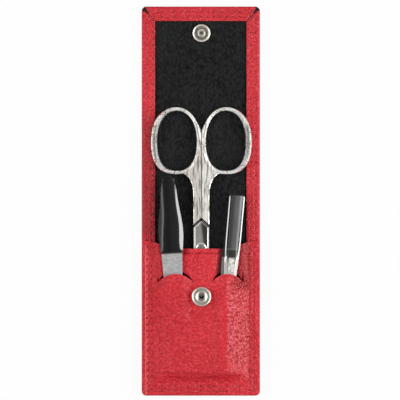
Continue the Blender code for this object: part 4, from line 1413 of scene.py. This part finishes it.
def tweezers_look():
    """Mirror-polished arms, left as stamped and mottled below the face; painted reflections darken and
    lighten the face, its rims and the facets below it.
    """
    look = Look("tweezers_nickel", (0.74, 0.73, 0.71), 0.06, 1.0)
    at = look.place()
    x, y, _ = look.xyz(at)
    sine = math.sin(tweezers_tilt)
    cosine = math.cos(tweezers_tilt)
    down = (x - tweezers_x) * sine + (tweezers_y - y) * cosine
    aside = (x - tweezers_x) * cosine - (tweezers_y - y) * sine
    below = down.clear_step(*stamped_down)
    stamped = below * aside.near(*stamped_half)
    mottle = look.clouds(arm_mottle, 3.0, 0.7, at).clear_step(0.45, 0.62)
    cloud = look.clouds(arm_cloud, 3.0, 0.6, look.stretched(at, (1.0, 0.35, 1.0), tweezers_tilt))
    patch = down.clear_step(*patch_down) * (aside - patch_aside).near(*patch_half)
    lip = (down - patch_down[0]).near(*lip_width)
    past_face = abs(aside) + down * arm_taper - (tweezers_half - arm_rim)
    # Painted dark reflection on the rims, darker on the left, with a darker line where they meet the
    # face.
    rim = past_face.clear_step(*rim_step)
    rim_color = look.blend_colors(aside.clear_step(*mm(-1.0, 1.0)), rim_painted_shade, rim_painted_light)
    # Painted light and shade on the facets below the face: lit on the left, shaded on the right.
    facets = look.blend_colors(aside.clear_step(*mm(-0.6, 0.6)), facet_painted_light, facet_painted_shade)
    # Painted reflections across the face: dark on the left, bright towards the right.
    look.put("Base Color", look.layered(
        arm_reflection_dark,
        (aside.clear_step(*arm_lit_x), 1.0, arm_reflection_middle),
        (aside.clear_step(*arm_bright_x), 0.6, arm_reflection_bright),
        (cloud.clear_step(0.35, 0.7), 0.35, arm_cloud_color),
        (patch, 0.8, patch_dark),
        (lip, 0.7, lip_bright),
        (rim * (1.0 - below), 1.0, rim_color),
        (past_face.near(*rim_line_width) * (1.0 - below), 0.9, rim_line_dark_reflection),
        (below, 1.0, facets),
        (stamped, 1.0, look.blend_colors(mottle, stamped_bright, stamped_dark)),
    ))
    shine = aside.clear_step(*mm(0.6, 2.0)) * 0.2 + rim * 0.1
    look.put("Roughness", 0.06 + shine + cloud * 0.05 + below * 0.12 + stamped * 0.25)
    look.put("Normal", look.relief(cloud * 0.15 + mottle * stamped * 0.6, arm_depth, 0.4))
    return look


def file_look():
    """Fine file cut: crossed rows of small teeth on matt nickel, with a painted shadow of the handle as a
    dark line by it.
    """
    look = Look("file_nickel", (0.36, 0.36, 0.36), 0.42, 1.0)
    at = look.place()
    grit = look.cells(file_tooth, "F1", at)
    cloud = look.clouds(420.0, 3.0, 0.6, at)
    cut = look.clouds(1.0, 2.0, 0.6, look.stretched(at, file_strokes, 0.4))
    dark_mottling = grit.clear_step(0.1, 0.6) * 0.5 + cloud * 0.2 + cut.clear_step(0.4, 0.65) * 0.25
    x, y, _ = look.xyz(at)
    down = (x - file_x) * math.sin(file_tilt) - (y - file_y) * math.cos(file_tilt)
    look.put("Base Color", look.layered(
        file_bright,
        (dark_mottling, 1.0, file_dark),
        # Painted shadow of the handle on the blade, along the handle's lower edge.
        (down.fall(*handle_shadow_band), 1.0, handle_painted_shadow),
    ))
    look.put("Roughness", 0.4 + grit * 0.2)
    look.put("Normal", look.relief(grit, file_depth, 0.7))
    return look


def stud_look():
    """The stud: a bright flange, painted shade in its valley, a bright boss with painted shade in its
    bore.
    """
    look = nickel_look("stud_nickel", (0.66, 0.63, 0.58), 0.24, even_strokes, depth=stud_depth)
    at = look.place()
    x, y, _ = look.xyz(at)
    out = ((x - snap_x) ** 2.0 + (y - flap_snap_y) ** 2.0) ** 0.5
    cloud = look.clouds(900.0, 2.0, 0.6, at)
    look.put("Base Color", look.layered(
        stud_bright,
        (cloud.clear_step(0.4, 0.7), 0.5, stud_cloud),
        (out.span(*stud_valley), 0.8, stud_valley_shade),
        (out.fall(*stud_bore), 0.95, stud_bore_shade),
    ))
    return look


def plastic_look():
    """Black moulded plastic, glossy on the right and dull on the left bevel."""
    look = Look("black_plastic", (0.006, 0.006, 0.007), 0.16, Specular_IOR_Level=0.3, Coat_Roughness=0.1)
    at = look.place()
    x, y, z = look.xyz(at)
    aside = (x - file_x) * math.cos(file_tilt) + (y - file_y) * math.sin(file_tilt)
    on_right = aside.clear_step(*handle_middle_x)
    below_face = z.fall(*handle_face_z)
    look.put("Coat Weight", on_right)
    look.put("Roughness", 0.16 + (1.0 - on_right) * below_face * 0.6)
    cloud = look.clouds(160.0, 4.0, 0.6, at)
    scratch = look.clouds(1.0, 2.0, 0.5, look.stretched(at, handle_strokes, 0.05))
    look.put("Base Color", look.blend_colors(cloud, plastic_dark, plastic_light))
    look.put("Normal", look.relief(scratch, scratch_depth, 0.3))
    return look


def board_look():
    """Grey fibre board, seen only where the case is taken apart."""
    look = Look("grey_board", (0.3, 0.29, 0.27), 0.9)
    at = look.place()
    fibre = look.clouds(900.0, 3.0, 0.6, at)
    look.put("Base Color", look.blend_colors(fibre, board_dark, board_light))
    look.put("Normal", look.relief(fibre, fibre_depth, 0.6))
    return look


def give(look, *nodes):
    for name in nodes:
        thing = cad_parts[name]
        for slot in thing.material_slots:
            slot.material = look.material
        if not thing.material_slots:
            thing.data.materials.append(look.material)


# Tools whose finish needs finer forms than the solids have

def handle_section(y):
    """The handle's section at a height above its lower edge: a flat face between two bevels."""
    half = flowing(handle_halves, min(y, handle_round))
    if y > handle_round:
        half = math.sqrt(max(handle_round_half ** 2 - (y - handle_round) ** 2, handle_edge ** 2))
    left = min(flowing(left_bevel, y), half * bevel_most_share)
    right = min(flowing(right_bevel, y), half * bevel_most_share)
    side = min(handle_edge, half * edge_most_share)
    return (
        (-half + side, handle_low), (-half, handle_low + side), (-half, handle_high - left * bevel_slope),
        (-half + left, handle_high - side / 3), (-half + left + side, handle_high),
        (half - right - side, handle_high), (half - right, handle_high - side / 3),
        (half, handle_high - right * bevel_slope), (half, handle_low + side), (half - side, handle_low),
    )


def make_handle(look):
    """The file's handle, with bevels that swell and fade along its sides."""
    heights = [*mm(0.0, 0.25, 0.55)] + even(0.0, handle_round, straight_steps)[1:-1]
    heights += [
        handle_round + handle_round_half * math.sin(angle)
        for angle in even(0.0, rounded_angle, rounded_steps)
    ]
    put = Matrix.Translation((file_x, file_y, 0.0)) @ Matrix.Rotation(file_tilt, 4, "Z")
    bm = bmesh.new()
    rings = [[bm.verts.new(put @ Vector((x, y, z))) for x, z in handle_section(y)] for y in heights]
    skin(bm, rings)
    made = mesh_piece("file_handle_finish", bm, look, "file", 20)
    bm = bmesh.new()
    bmesh.ops.create_cube(bm, size=1.0)
    reach = slot_length + MM
    size = (2 * slot_half, reach, slot_high - slot_low)
    middle = (0.0, slot_length - reach / 2, (slot_low + slot_high) / 2)
    bmesh.ops.transform(
        bm, matrix=put @ Matrix.Translation(middle) @ Matrix.Diagonal((*size, 1.0)), verts=bm.verts)
    cut_with(made, bm)
    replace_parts(made, "file_handle")


def ring_side(y):
    """How far the rings stand from the line between them."""
    power = ring_upper_power if y > ring_y else ring_lower_power
    share = min(abs(y - ring_y) / ring_half_y, 1.0)
    return ring_x - ring_half_x * (1.0 - share ** power) ** (1.0 / power)


def make_scissors_half(node, body, side, look):
    """One half of the scissors, with the metal that closes the crotch beside its ring."""
    bm = bmesh.new()
    bm.from_mesh(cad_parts[node].data)
    low_y, high_y = crotch
    loops = []
    for y in even(low_y, high_y, crotch_steps):
        outer = ring_side(y) + crotch_sink
        inner = mix(split_half, ring_side(y), smooth((y - crotch_open_y) / (high_y - crotch_open_y)))
        section = (
            (inner, crotch_low), (outer, crotch_low),
            (outer, crotch_top), (inner, crotch_top - crotch_fall),
        )
        loops.append([bm.verts.new((scissors_x + side * x, y, z)) for x, z in section])
    skin(bm, loops)
    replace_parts(mesh_piece(node + "_finish", bm, look, body, 35), node)


# Stage, light and camera

def floor_look():
    """White table: seen by the camera as white, with a faint soft shadow left on it."""
    made = bpy.data.materials.new("white_table")
    made.use_nodes = True
    tree = made.node_tree
    shader = tree.nodes["Principled BSDF"]
    shader.inputs["Base Color"].default_value = (0.8, 0.8, 0.8, 1.0)
    shader.inputs["Roughness"].default_value = 0.9
    glow = tree.nodes.new("ShaderNodeEmission")
    glow.inputs["Strength"].default_value = 1.0
    path = tree.nodes.new("ShaderNodeLightPath")
    blend = tree.nodes.new("ShaderNodeMixShader")
    seen = Wire(tree, path.outputs["Is Camera Ray"])
    seen = seen.most(Wire(tree, path.outputs["Is Glossy Ray"]))
    seen = seen.most(Wire(tree, path.outputs["Is Transmission Ray"]))
    join(tree, seen * table_glow, blend.inputs[0])
    tree.links.new(shader.outputs[0], blend.inputs[1])
    tree.links.new(glow.outputs[0], blend.inputs[2])
    tree.links.new(blend.outputs[0], tree.nodes["Material Output"].inputs["Surface"])
    return made


def make_stage():
    bm = bmesh.new()
    bmesh.ops.create_grid(bm, x_segments=1, y_segments=1, size=table_half)
    mesh = bpy.data.meshes.new("table")
    bm.to_mesh(mesh)
    bm.free()
    table = bpy.data.objects.new("table", mesh)
    table.location = (0.0, 0.0, -table_drop)
    bpy.context.scene.collection.objects.link(table)
    mesh.materials.append(floor_look())


def make_world():
    """A pale studio: bright walls low down, and a dim opening overhead where the camera is."""
    world = bpy.data.worlds.new("studio")
    bpy.context.scene.world = world
    world.use_nodes = True
    tree = world.node_tree
    back = tree.nodes["Background"]
    place = tree.nodes.new("ShaderNodeTexCoord")
    split = tree.nodes.new("ShaderNodeSeparateXYZ")
    tree.links.new(place.outputs["Generated"], split.inputs[0])
    up = Wire(tree, split.outputs[2])
    path = tree.nodes.new("ShaderNodeLightPath")
    seen = Wire(tree, path.outputs["Is Camera Ray"])
    glossy = Wire(tree, path.outputs["Is Glossy Ray"])
    walls = wall_foot + up.clear_step(*studio_wall) * wall_rise
    mirrored = walls - up.clear_step(*studio_opening) * opening_dim
    strength = seen.most(glossy * mirrored).most((1.0 - seen) * (1.0 - glossy) * studio_fill)
    join(tree, strength, back.inputs["Strength"])
    back.inputs["Color"].default_value = (1.0, 1.0, 1.0, 1.0)


def area_lamp(name, place, aim, size, power, mirrored_only=False):
    data = bpy.data.lights.new(name, "AREA")
    data.shape = "RECTANGLE"
    data.size, data.size_y = size
    data.energy = power
    lamp = bpy.data.objects.new(name, data)
    lamp.location = place
    lamp.rotation_euler = (Vector(aim) - Vector(place)).to_track_quat("-Z", "Y").to_euler()
    lamp.visible_diffuse = not mirrored_only
    bpy.context.scene.collection.objects.link(lamp)


def make_lamps():
    middle = (0.0, 0.0, 0.0)
    area_lamp("right_softbox", (0.8, 0.0, 0.66), middle, (0.6, 0.9), 5.6)
    area_lamp("left_fill", (-0.8, 0.05, 0.7), middle, (0.8, 0.8), 5.4)
    area_lamp("right_card", (0.9, -0.15, 0.56), middle, (1.5, 0.8), 23.0, mirrored_only=True)
    area_lamp("left_card", (-0.9, -0.1, 0.5), middle, (1.2, 0.6), 7.0, mirrored_only=True)


def make_camera():
    data = bpy.data.cameras.new("camera")
    data.sensor_width = sensor
    data.lens = sensor * camera_height / view_width
    data.clip_start = 0.01
    data.clip_end = 20.0
    camera = bpy.data.objects.new("camera", data)
    camera.location = (view_x, view_y, camera_height + lip_top)
    camera.rotation_euler = (0.0, 0.0, 0.0)
    bpy.context.scene.collection.objects.link(camera)
    bpy.context.scene.camera = camera


def dress():
    black = leather_look(
        "black_lining", lining_black, lining_valley, lining_rubbed, lining_cell, 0.45,
        drawn=(1.0, 0.6, 1.0), gloss=0.05)
    black.put("Normal", black.relief(black.height, lining_grain_depth))
    make_case_leather(case_red_look())
    make_lining(black)
    make_pocket_front(pocket_red_look())
    make_stitches(thread_look())
    scissors = scissors_look()
    make_scissors_half("scissors_left_half", "scissors_left", -1.0, scissors)
    make_scissors_half("scissors_right_half", "scissors_right", 1.0, scissors)
    give(nickel_look("screw_nickel", (0.75, 0.72, 0.66), 0.16, even_strokes), "scissors_screw")
    snap_nickel = nickel_look("snap_nickel", (0.47, 0.44, 0.39), 0.27, even_strokes, depth=snap_depth)
    give(snap_nickel, "pocket_snap_socket", "pocket_snap_eyelet", "flap_snap_cap")
    give(stud_look(), "flap_snap_stud")
    give(tweezers_look(), "tweezers_rear_arm", "tweezers_front_arm")
    give(nickel_look("spring_steel", (0.45, 0.45, 0.46), 0.25, wire_strokes), "socket_spring")
    give(file_look(), "file_blade")
    make_handle(plastic_look())
    give(board_look(), "back_board", "flap_board")


bpy.context.scene.view_settings.view_transform = "Standard"
make_camera()
make_stage()
make_world()
make_lamps()
dress()
